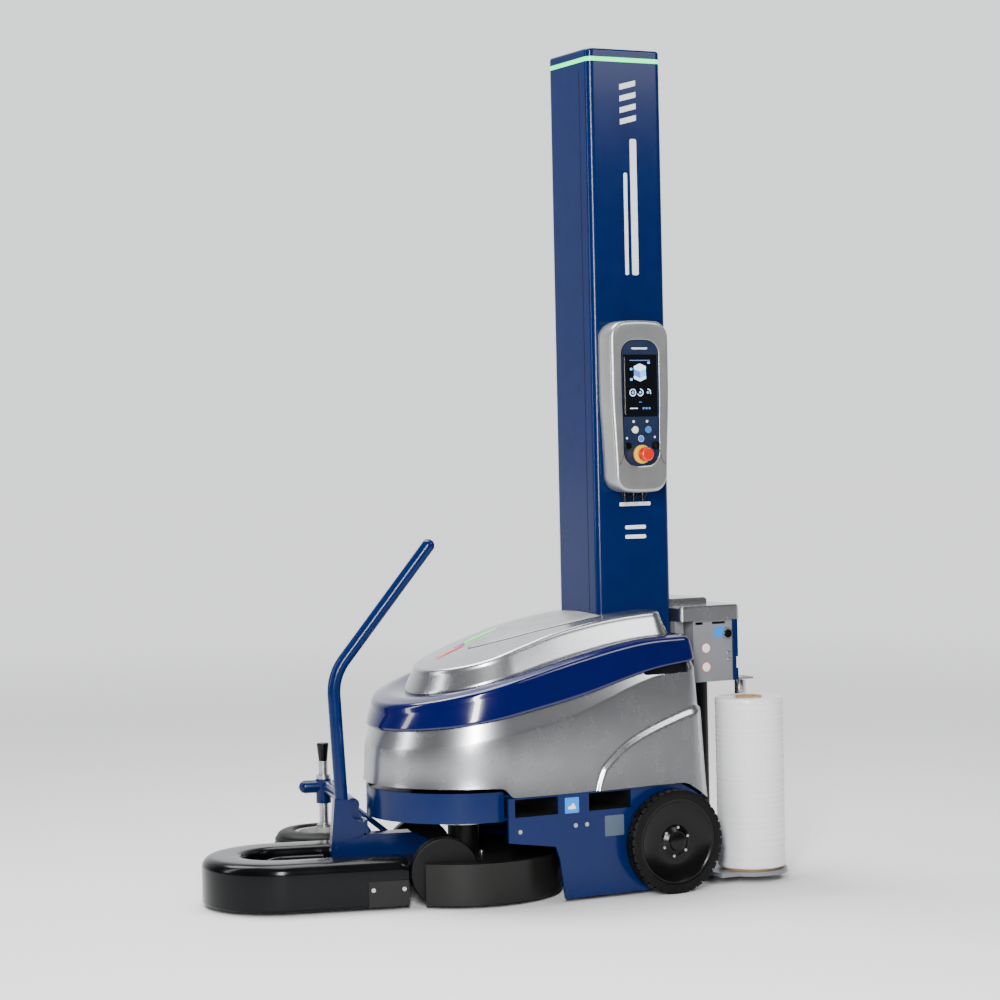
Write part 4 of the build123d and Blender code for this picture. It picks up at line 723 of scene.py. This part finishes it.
def build_screen():
    """The display: glass, and a plain picture of a wrapped load, three dials and a menu row."""
    x, z = (SCREEN_LOW.x + SCREEN_HIGH.x) / 2, (SCREEN_LOW.z + SCREEN_HIGH.z) / 2
    mid = Vector((x, PANEL_LOW.y + 0.0006, z))
    width, height = SCREEN_HIGH.x - SCREEN_LOW.x + 0.006, SCREEN_HIGH.z - SCREEN_LOW.z
    left_plate("screen_pane", rounded(width, height, 0.003), mid, 0.0006, "glass", hides=("panel_screen",))
    trim = rounded(0.0022, height * 0.94, 0.001, cx=0.006 - width / 2)
    left_plate("screen_trim", trim, mid, 0.0012, "steel")
    mid = mid + LEFT * 0.0007

    def show(name, outline, mat):
        left_plate(name, outline, mid, 0.0002, mat)

    # a wrapped load, seen corner on
    cube, top = 0.020, 0.052
    back, front = top + 0.004, top - 0.004
    show("pixel_top", [(0, top + 0.012), (cube, back), (0, front), (-cube, back)], "pixel_pale")
    for i, (z0, z1, mat) in enumerate(((0.0, -0.008, "pixel_pale"), (-0.0085, -0.026, "pixel_blue"),
                                       (-0.0265, -0.036, "pixel_pale"))):
        show(f"pixel_left_{i}", [(-cube, back + z0), (0, front + z0), (0, front + z1), (-cube, back + z1)],
             "pixel_dark" if mat == "pixel_blue" else mat)
        show(f"pixel_right_{i}", [(0.0005, front + z0), (cube, back + z0), (cube, back + z1),
                                  (0.0005, front + z1)], mat)
    for i in range(2):
        show(f"pixel_tag_{i}", rounded(0.008, 0.007, 0.001, cx=-0.029, cy=0.048 - 0.030 * i), "pixel_blue")
    show("pixel_top_bar", rounded(0.068, 0.0022, 0.0008, cx=0.0, cy=0.073), "pixel_dark")
    show("pixel_corner", rounded(0.008, 0.006, 0.001, cx=0.030, cy=0.066), "pixel_blue")

    # three part-filled dials, each round a diamond
    steps, gem = 40, 0.0045
    for i, fill in enumerate((1.0, 0.7, 0.35)):
        cx, cz = -0.025 + 0.025 * i, -0.020
        turns = [2 * math.pi * k / steps for k in range(max(4, int(steps * fill)))]
        ring = [(cx + 0.0108 * math.sin(a), cz + 0.0108 * math.cos(a)) for a in turns]
        ring += [(cx + 0.0082 * math.sin(a), cz + 0.0082 * math.cos(a)) for a in reversed(turns)]
        show(f"pixel_dial_{i}", ring, "pixel_pale")
        diamond = [(cx, cz + gem), (cx + gem, cz), (cx, cz - gem), (cx - gem, cz)]
        show(f"pixel_diamond_{i}", diamond, "pixel_blue")
    for i in range(3):
        show(f"pixel_menu_{i}", rounded(0.006, 0.006, 0.0012, cx=0.010 + 0.010 * i, cy=-0.066), "pixel_dark")
    show("pixel_menu_line", rounded(0.026, 0.0025, 0.0008, cx=-0.022, cy=-0.066), "pixel_pale")
    show("pixel_dots", rounded(0.010, 0.0018, 0.0008, cx=0.0, cy=-0.048), "pixel_dark")


def build_panel_marks():
    """Plain printed marks beside the controls."""
    mid = Vector(((PLATE_LOW.x + PLATE_HIGH.x) / 2, PANEL_LOW.y + 0.0007, 0.0))
    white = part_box("button_white")
    row_z = (white[0].z + white[1].z) / 2
    badge_z = row_z - 0.026

    def mark(name, outline, z, mat="decal_white", x=0.0, lift=0.0):
        left_plate(name, outline, mid + SIDE * x + UP * z + LEFT * lift, 0.0002, mat)

    for i, (x, z, w) in enumerate(((-0.024, row_z + 0.024, 0.007), (0.021, row_z + 0.024, 0.007),
                                   (-0.047, row_z - 0.024, 0.006), (0.046, row_z - 0.022, 0.006))):
        mark(f"panel_mark_{i}", rounded(w, w, 0.002), z, x=x)
    mark("panel_badge_ring", disc(0.0095), badge_z)
    mark("panel_badge", disc(0.0084), badge_z, "decal_blue", lift=0.0002)
    mark("panel_stripe", rounded(0.052, 0.005, 0.002), PLATE_HIGH.z - 0.024)


# ---------- turret
def build_bumper():
    """The soft horseshoe: a rounded section swept round its nose."""
    half, width, nose_x, end_x = 0.225, 0.115, -0.530, -0.200
    low, high = BUMPER_LOW.z, BUMPER_HIGH.z
    middle = half - width / 2
    path = []
    for i in range(34):
        path.append((end_x + (nose_x - end_x) * i / 34, -middle, 0.0, -1.0))
    for i in range(97):
        a = math.radians(-90 - 180 * i / 96)
        path.append((nose_x + middle * math.cos(a), middle * math.sin(a), math.cos(a), math.sin(a)))
    for i in range(34):
        path.append((nose_x + (end_x - nose_x) * (i + 1) / 34, middle, 0.0, 1.0))

    def corner(cx, cz, rx, rz, start, steps=9):
        return [(cx + rx * math.cos(math.radians(start + 90 * k / steps)),
                 cz + rz * math.sin(math.radians(start + 90 * k / steps))) for k in range(steps + 1)]

    w = width / 2
    section = corner(w - 0.032, high - 0.030, 0.032, 0.030, 0) + [(0.006, high + 0.0008), (-0.018, high)]
    section += corner(-w + 0.020, high - 0.022, 0.020, 0.022, 90)
    section += [(-w, low + 0.05)] + corner(-w + 0.006, low + 0.006, 0.006, 0.006, 180)
    section += corner(w - 0.008, low + 0.008, 0.008, 0.008, 270) + [(w, low + 0.05)]
    rows = []
    for i, (x, y, nx, ny) in enumerate(path):
        from_end = min(i, len(path) - 1 - i)
        pull = 0.006 * (1 - smooth(from_end / 2.0))     # the ends are drawn in a little all round
        row = []
        for a, z in section:
            across = a - math.copysign(pull, a) if abs(a) > pull else a
            drop = pull if z > (low + high) / 2 else -pull
            row.append(steered(x + nx * a, y + ny * across, z - drop))
        rows.append(row)
    foam = grid("bumper_skin", rows, "black_soft", "turret", ("bumper",), loop=True, caps=True, sharp=60)
    # a flat plate on the outer face of each rear end
    outline = [(-0.113, -0.035), (0.0, -0.035), (0.0, 0.036), (-0.113, 0.036)]
    along = Matrix.Rotation(TURN, 3, "Z") @ SIDE
    for i, side in enumerate((-1, 1)):
        origin = steered(end_x - 0.002, side * (half + 0.0004), low + 0.038)
        out = Matrix.Rotation(TURN, 3, "Z") @ Vector((0, side, 0))
        plate_piece(f"bumper_end_plate_{i}", outline, along, UP, out, origin, 0.0018, "black_paint", "turret")


def build_tyre(name, wheel, side):
    """A rear tyre with two staggered rows of lugs over rounded shoulders."""
    low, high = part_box(wheel)
    centre = Vector(((low.x + high.x) / 2, (low.y + high.y) / 2, (low.z + high.z) / 2))
    radius, half = (high.z - low.z) / 2, (high.y - low.y) / 2
    inner, lugs, per = radius - 0.026, 38, 12
    # across the tread: (share of the half width, 1 where a lug stands)
    lanes = [(-1.0, 0), (-0.96, 1), (-0.86, 1), (-0.12, 1), (-0.06, 0), (0.06, 0), (0.12, 1), (0.86, 1),
             (0.96, 1), (1.0, 0)]
    rows = []
    for i in range(lugs * per):
        a = 2 * math.pi * i / (lugs * per)
        out = Vector((math.cos(a), 0, math.sin(a)))
        row = [centre + out * inner + Vector((0, -half, 0))]
        row.append(centre + out * (radius - 0.012) + Vector((0, -half, 0)))
        for share, tread in lanes:
            offset = 0 if share < 0 else per // 2
            groove = ((i + offset) % per) < 2
            r = radius if tread and not groove else radius - 0.0055
            if abs(share) >= 0.96:
                r -= 0.004
            row.append(centre + out * r + Vector((0, share * half, 0)))
        row.append(centre + out * (radius - 0.012) + Vector((0, half, 0)))
        row.append(centre + out * inner + Vector((0, half, 0)))
        rows.append(row)
    rows.append(rows[0])
    grid(name, rows, "rubber", f"rear_wheel_{side}", (wheel,), loop=True, sharp=30)


def build_wheel_disc(name, wheel, side):
    """The dished face of a rear wheel's disc, with its raised hub and six bolts."""
    low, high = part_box(wheel)
    sign = 1 if side == "right" else -1
    centre = Vector(((low.x + high.x) / 2, high.y if sign > 0 else low.y, (low.z + high.z) / 2))
    rim = (high.z - low.z) / 2 - 0.0255
    profile = [(0.0, 0.002), (0.020, 0.002), (0.024, 0.000), (0.027, -0.006), (0.034, -0.012),
               (0.050, -0.0165)]
    profile += [(0.050 + (rim - 0.060) * k / 10, -0.0165 + 0.0125 * (k / 10) ** 2.2) for k in range(1, 11)]
    profile += [(rim - 0.005, -0.002), (rim, -0.0015), (rim, -0.012), (0.0, -0.022)]
    lathe(name, profile, centre, (0, sign, 0), "black_plastic", f"rear_wheel_{side}", steps=96)
    for k in range(6):
        a = math.radians(60 * k + 20)
        spot = centre + Vector((0.041 * math.cos(a), -sign * 0.0150, 0.041 * math.sin(a)))
        bolt = [(0.0, 0.0), (0.0042, 0.0), (0.0042, 0.004), (0.0, 0.0048)]
        lathe(f"{name}_bolt_{k}", bolt, spot, (0, sign, 0), "steel", f"rear_wheel_{side}", steps=12)


def build_feeler_tyre():
    """The feeler's round tyre with circumferential ribs."""
    low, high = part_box("feeler_tyre")
    centre = Vector(((low.x + high.x) / 2, (low.y + high.y) / 2, (low.z + high.z) / 2))
    radius, half = (high.x - low.x) / 2, (high.z - low.z) / 2
    profile = [(0.0925, -half + 0.006), (0.098, -half)]
    for i in range(41):
        a = math.radians(-90 + 180 * i / 40)
        rib = 0.0022 if 0.15 < abs(math.sin(a)) < 0.24 or 0.52 < abs(math.sin(a)) < 0.60 else 0.0
        r = radius - 0.046 + (0.046 - rib) * math.copysign(abs(math.cos(a)) ** 0.75, math.cos(a))
        profile.append((r, half * math.copysign(abs(math.sin(a)) ** 0.9, math.sin(a))))
    profile += [(0.098, half), (0.0925, half - 0.006)]
    lathe("feeler_tyre_skin", profile, centre, UP, "rubber", "feeler_wheel", ("feeler_tyre",), steps=128)


def tube(name, points, radius, mat, body, steps=20):
    """A round tube through points, with a domed far end."""
    rows = []
    last = len(points) - 1
    for i, p in enumerate(points):
        along = (points[min(i + 1, last)] - points[max(i - 1, 0)]).normalized()
        side = along.cross(Vector((0, 0, 1)))
        side = side.normalized() if side.length > 0.01 else Vector((1, 0, 0))
        other = along.cross(side)
        turns = [2 * math.pi * k / steps for k in range(steps)]
        rows.append([p + (side * math.cos(a) + other * math.sin(a)) * radius for a in turns])
    tip, along = points[-1], (points[-1] - points[-2]).normalized()
    base = [v - tip for v in rows[-1]]
    for k in range(1, 7):
        a = math.pi / 2 * k / 6.3       # stops short of a right angle, so the last ring isn't a point
        rows.append([tip + v * math.cos(a) + along * radius * math.sin(a) for v in base])
    return grid(name, rows, mat, body, loop=True, caps=True, sharp=50)


def build_feeler_stub():
    """The feeler tube's rounded end, ahead of its post."""
    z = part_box("feeler_arm")[1].z - 0.023
    line = [steered(x, 0.480, z) for x in (-0.318, -0.336, -0.392)]
    tube("feeler_tube_end", line, 0.0195, "blue", "turret")


def build_well_rim():
    """The raised lip of the shallow tray inside the bumper's well."""
    points, half, nose = [], 0.070, -0.500
    for i in range(11):
        points.append((-0.400 + (nose + 0.400) * i / 10, -half))
    for i in range(1, 24):
        a = math.radians(-90 - 180 * i / 24)
        points.append((nose + half * math.cos(a), half * math.sin(a)))
    for i in range(11):
        points.append((nose + (-0.400 - nose) * i / 10, half))
    section = [(-0.009, 0.088), (-0.009, 0.114), (-0.006, 0.119), (0.0, 0.121), (0.006, 0.119),
               (0.009, 0.114), (0.014, 0.088)]
    rows = []
    last = len(points) - 1
    for i, (x, y) in enumerate(points):
        xa, ya = points[max(0, i - 1)]
        xb, yb = points[min(last, i + 1)]
        along = Vector((xb - xa, yb - ya)).normalized()
        rows.append([steered(x + along.y * a, y - along.x * a, z) for a, z in section])
    grid("well_lip", rows, "black_soft", "turret", loop=True, caps=True, sharp=50)


# ---------- carriage
def build_film():
    """The wound film: crisp ends with slightly uneven wraps."""
    low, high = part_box("film_roll")
    centre = Vector(((low.x + high.x) / 2, (low.y + high.y) / 2, low.z))
    radius, height = (high.x - low.x) / 2, high.z - low.z
    core = 0.0385

    def wraps(t):
        """(radius, unevenness) of the t-th tenth of the way from the core to the edge."""
        return core + (radius - 0.006 - core) * t / 10, 0.0012 * math.sin(9.3 * t)

    edge = [(radius - 0.003, 0.0008), (radius - 0.0008, 0.003), (radius, 0.007)]
    profile = [(core, 0.004)]
    profile += [(r, 0.0012 + wave) for r, wave in map(wraps, range(1, 11))] + edge
    for i in range(1, 40):
        h = 0.007 + (height - 0.014) * i / 40
        profile.append((radius - 0.0006 * (1 + math.sin(i * 1.9) * math.sin(i * 0.37)), h))
    profile += [(r, height - h) for r, h in reversed(edge)]
    profile += [(r, height - 0.0012 - wave) for r, wave in map(wraps, range(10, 0, -1))]
    profile += [(core, height - 0.004)]
    lathe("film_wound", profile, centre, UP, "film", "film_roll", ("film_roll",), steps=128)


def build_labels():
    """Plain labels, without lettering, and the small hardware on the carriage's side panel."""
    plate_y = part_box("side_plate_left")[0].y

    def label(name, x, z, outline, mat, y=plate_y, body="chassis", lift=0.0):
        left_plate(name, outline, Vector((STEER.x + x, y, z)) + LEFT * lift, PRINT, mat, body)

    label("pocket_label", 0.186, 0.273, rounded(0.045, 0.044, 0.003), "decal_blue")
    peak = [(-0.012, -0.008), (0.012, -0.008), (0.012, -0.002), (0.004, 0.010), (-0.003, 0.002),
            (-0.012, 0.000)]
    label("pocket_label_mark", 0.186, 0.270, peak, "decal_white", lift=PRINT)
    label("rating_plate", 0.322, 0.205, rounded(0.062, 0.058, 0.003), "decal_grey")
    panel_low, panel_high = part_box("carriage_side_panel")
    x, y, z = panel_high.x - STEER.x, panel_low.y, panel_high.z
    label("carriage_label", x - 0.044, z - 0.036, rounded(0.036, 0.032, 0.004), "decal_blue", y, "carriage")
    bolt = [(0.0, 0.0), (0.0065, 0.0), (0.0065, 0.003), (0.004, 0.0055), (0.0, 0.006)]
    for i, drop in enumerate((0.082, 0.138)):
        label(f"round_label_ring_{i}", x - 0.092, z - drop, disc(0.016), "decal_red", y, "carriage")
        label(f"round_label_{i}", x - 0.092, z - drop, disc(0.0135), "decal_white", y, "carriage", PRINT)
        spot = Vector((panel_high.x - 0.016, y, z - 0.100 - 0.018 * i))
        lathe(f"panel_bolt_{i}", bolt, spot, LEFT, "steel", "carriage", steps=16)
    key_low, key_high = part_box("release_button")
    spot = Vector(((key_low.x + key_high.x) / 2, y, (key_low.z + key_high.z) / 2))
    collar = [(0.0125, 0.0), (0.0165, 0.0), (0.0165, 0.004), (0.0150, 0.006), (0.0125, 0.006)]
    lathe("button_collar", collar, spot, LEFT, "steel", "carriage", steps=32)


# ---------- assembly
dress("blue", "chassis_frame", "side_plate_left", "side_plate_right", "mast_column", "mast_cap",
      "tiller_bracket", "tiller", "feeler_arm", "carriage_edge_plate")
dress("black_paint", "fork_pockets", "turret_deck", "turret_skirt")
dress("black_plastic", "button_black", "key_switch", "rear_disc_left", "rear_disc_right", "feeler_knob",
      "release_button")
dress("rubber", "front_wheel_left", "front_wheel_right", "lift_belt", "drive_belt", "prestretch_roller_slow",
      "prestretch_roller_fast")
dress("steel", "slewing_ring", "lift_gearmotor", "lift_pulley_drive", "lift_pulley_top", "axle_bearings",
      "drive_gearmotor", "motor_pulley", "frame_screws", "turret_bolts", "feeler_post")
dress("grey", "control_box", "carriage_frame", "carriage_side_panel", "batteries")
dress("silver", "carriage_cover")
dress("light_grey", "feeler_rim")
dress("beacon", "beacon_ring")
dress("yellow", "estop_collar")
dress("red", "estop_knob")
dress("white", "button_white")
dress("blue_key", "button_blue")
dress("chrome", "idle_roller")
dress("card", "roll_turntable")

build_lower_hood()
build_band()
build_upper_cover()
build_inlay()
build_mast_trim()
build_panel()
build_screen()
build_panel_marks()
build_bumper()
for end in ("left", "right"):
    build_tyre(f"tyre_{end}", f"rear_tyre_{end}", end)
for end in ("left", "right"):
    build_wheel_disc(f"disc_face_{end}", f"rear_tyre_{end}", end)
build_feeler_tyre()
build_feeler_stub()
build_well_rim()
build_film()
build_labels()


# ---------- studio
def build_floor(ahead):
    """A floor that is pale from every side, but darker in reflections well in front of the machine."""
    pale = bpy.data.materials.new("studio_floor")
    pale.use_nodes = True
    nodes = Shading(pale.node_tree)
    shader = pale.node_tree.nodes["Principled BSDF"]
    shader.inputs["Roughness"].default_value = 0.7
    shader.inputs["Specular IOR Level"].default_value = 0.2
    shader.inputs["Emission Color"].default_value = (0.97, 0.985, 1.0, 1)
    place = nodes.add("ShaderNodeTexCoord").outputs["Object"]
    along = nodes.along(place, ahead)
    speck = nodes.add("ShaderNodeTexNoise")
    speck.inputs["Scale"].default_value = 3.0
    nodes.link(place, speck.inputs["Vector"])
    tone = nodes.add("ShaderNodeMath", operation="MULTIPLY")
    nodes.link(nodes.ramp(along, -3.6, -1.5, FLOOR_DARK, FLOOR_PALE, "SMOOTHSTEP"), tone.inputs[0])
    nodes.link(nodes.ramp(speck.outputs["Fac"], 0.0, 1.0, 0.985, 1.015), tone.inputs[1])
    nodes.link(nodes.seen(tone.outputs["Value"], FLOOR_PALE), shader.inputs["Base Color"])
    reach = nodes.add("ShaderNodeVectorMath", operation="LENGTH")
    nodes.link(place, reach.inputs[0])
    far = nodes.seen(along, reach.outputs["Value"])
    glow = nodes.ramp(far, 1.0, 11.0, 0.0, FAR_GLOW, "SMOOTHSTEP")
    nodes.link(glow, shader.inputs["Emission Strength"])
    bpy.ops.mesh.primitive_plane_add(size=120, location=(0, 0, 0))
    floor = bpy.context.object
    floor.name = "studio_floor"
    floor.data.materials.append(pale)


def build_surroundings(ahead):
    """Surroundings pale from every side, that light the machine more from behind than from in front."""
    world = bpy.data.worlds.new("studio")
    bpy.context.scene.world = world
    world.use_nodes = True
    nodes = Shading(world.node_tree)
    sky = world.node_tree.nodes["Background"]
    sky.inputs["Color"].default_value = (0.96, 0.98, 1.0, 1)
    along = nodes.along(nodes.add("ShaderNodeTexCoord").outputs["Generated"], ahead)
    light = nodes.ramp(along, 0.25, 0.97, FRONT_LIGHT, BACK_LIGHT, "SMOOTHSTEP")
    nodes.link(nodes.seen(light, BACK_LIGHT), sky.inputs["Strength"])


def build_studio():
    """A pale floor, soft lights and the camera."""
    right = Vector((math.cos(VIEW_AZIMUTH), -math.sin(VIEW_AZIMUTH), 0))
    ahead = Vector((math.sin(VIEW_AZIMUTH), math.cos(VIEW_AZIMUTH), 0))
    build_floor(ahead)
    build_surroundings(ahead)

    def area(name, place, target, size, power):
        data = bpy.data.lights.new(name, "AREA")
        data.shape = "RECTANGLE"
        data.size, data.size_y = size
        data.energy = power
        lamp = bpy.data.objects.new(name, data)
        bpy.context.scene.collection.objects.link(lamp)
        lamp.location = place
        lamp.rotation_euler = (Vector(target) - Vector(place)).to_track_quat("-Z", "Y").to_euler()

    key = STEER - ahead * 4.6 - right * 0.15 + Vector((0, 0, 2.1))
    area("key", key, (0.05, 0, 0.8), (0.55, 2.6), 360)
    area("top", (-0.2, 0.6, 4.4), (0.0, 0, 0.5), (2.6, 2.6), 210)
    area("left", (-3.6, 0.9, 1.9), (0, 0, 0.9), (0.4, 2.4), 40)
    area("high", (2.1, -3.1, 3.5), (0.1, -0.2, 0.7), (1.7, 1.7), 60)
    sun = bpy.data.objects.new("sun", bpy.data.lights.new("sun", "SUN"))
    sun.data.energy = SUN_LIGHT
    sun.data.angle = math.radians(25)
    sun.rotation_euler = (math.radians(-28), math.radians(-18), 0)
    bpy.context.scene.collection.objects.link(sun)

    data = bpy.data.cameras.new("camera")
    camera = bpy.data.objects.new("camera", data)
    bpy.context.scene.collection.objects.link(camera)
    camera.location = STEER + right * 0.115 - ahead * 7.506 + Vector((0, 0, 1.304))
    level = ahead.to_track_quat("-Z", "Y").to_matrix()
    camera.rotation_euler = (level @ Matrix.Rotation(math.radians(-1.2), 3, "Z")).to_euler()
    data.lens = 93.6
    data.sensor_width = 36.0
    data.shift_x = 0.005
    data.shift_y = -0.06
    data.clip_end = 200.0
    bpy.context.scene.camera = camera


build_studio()
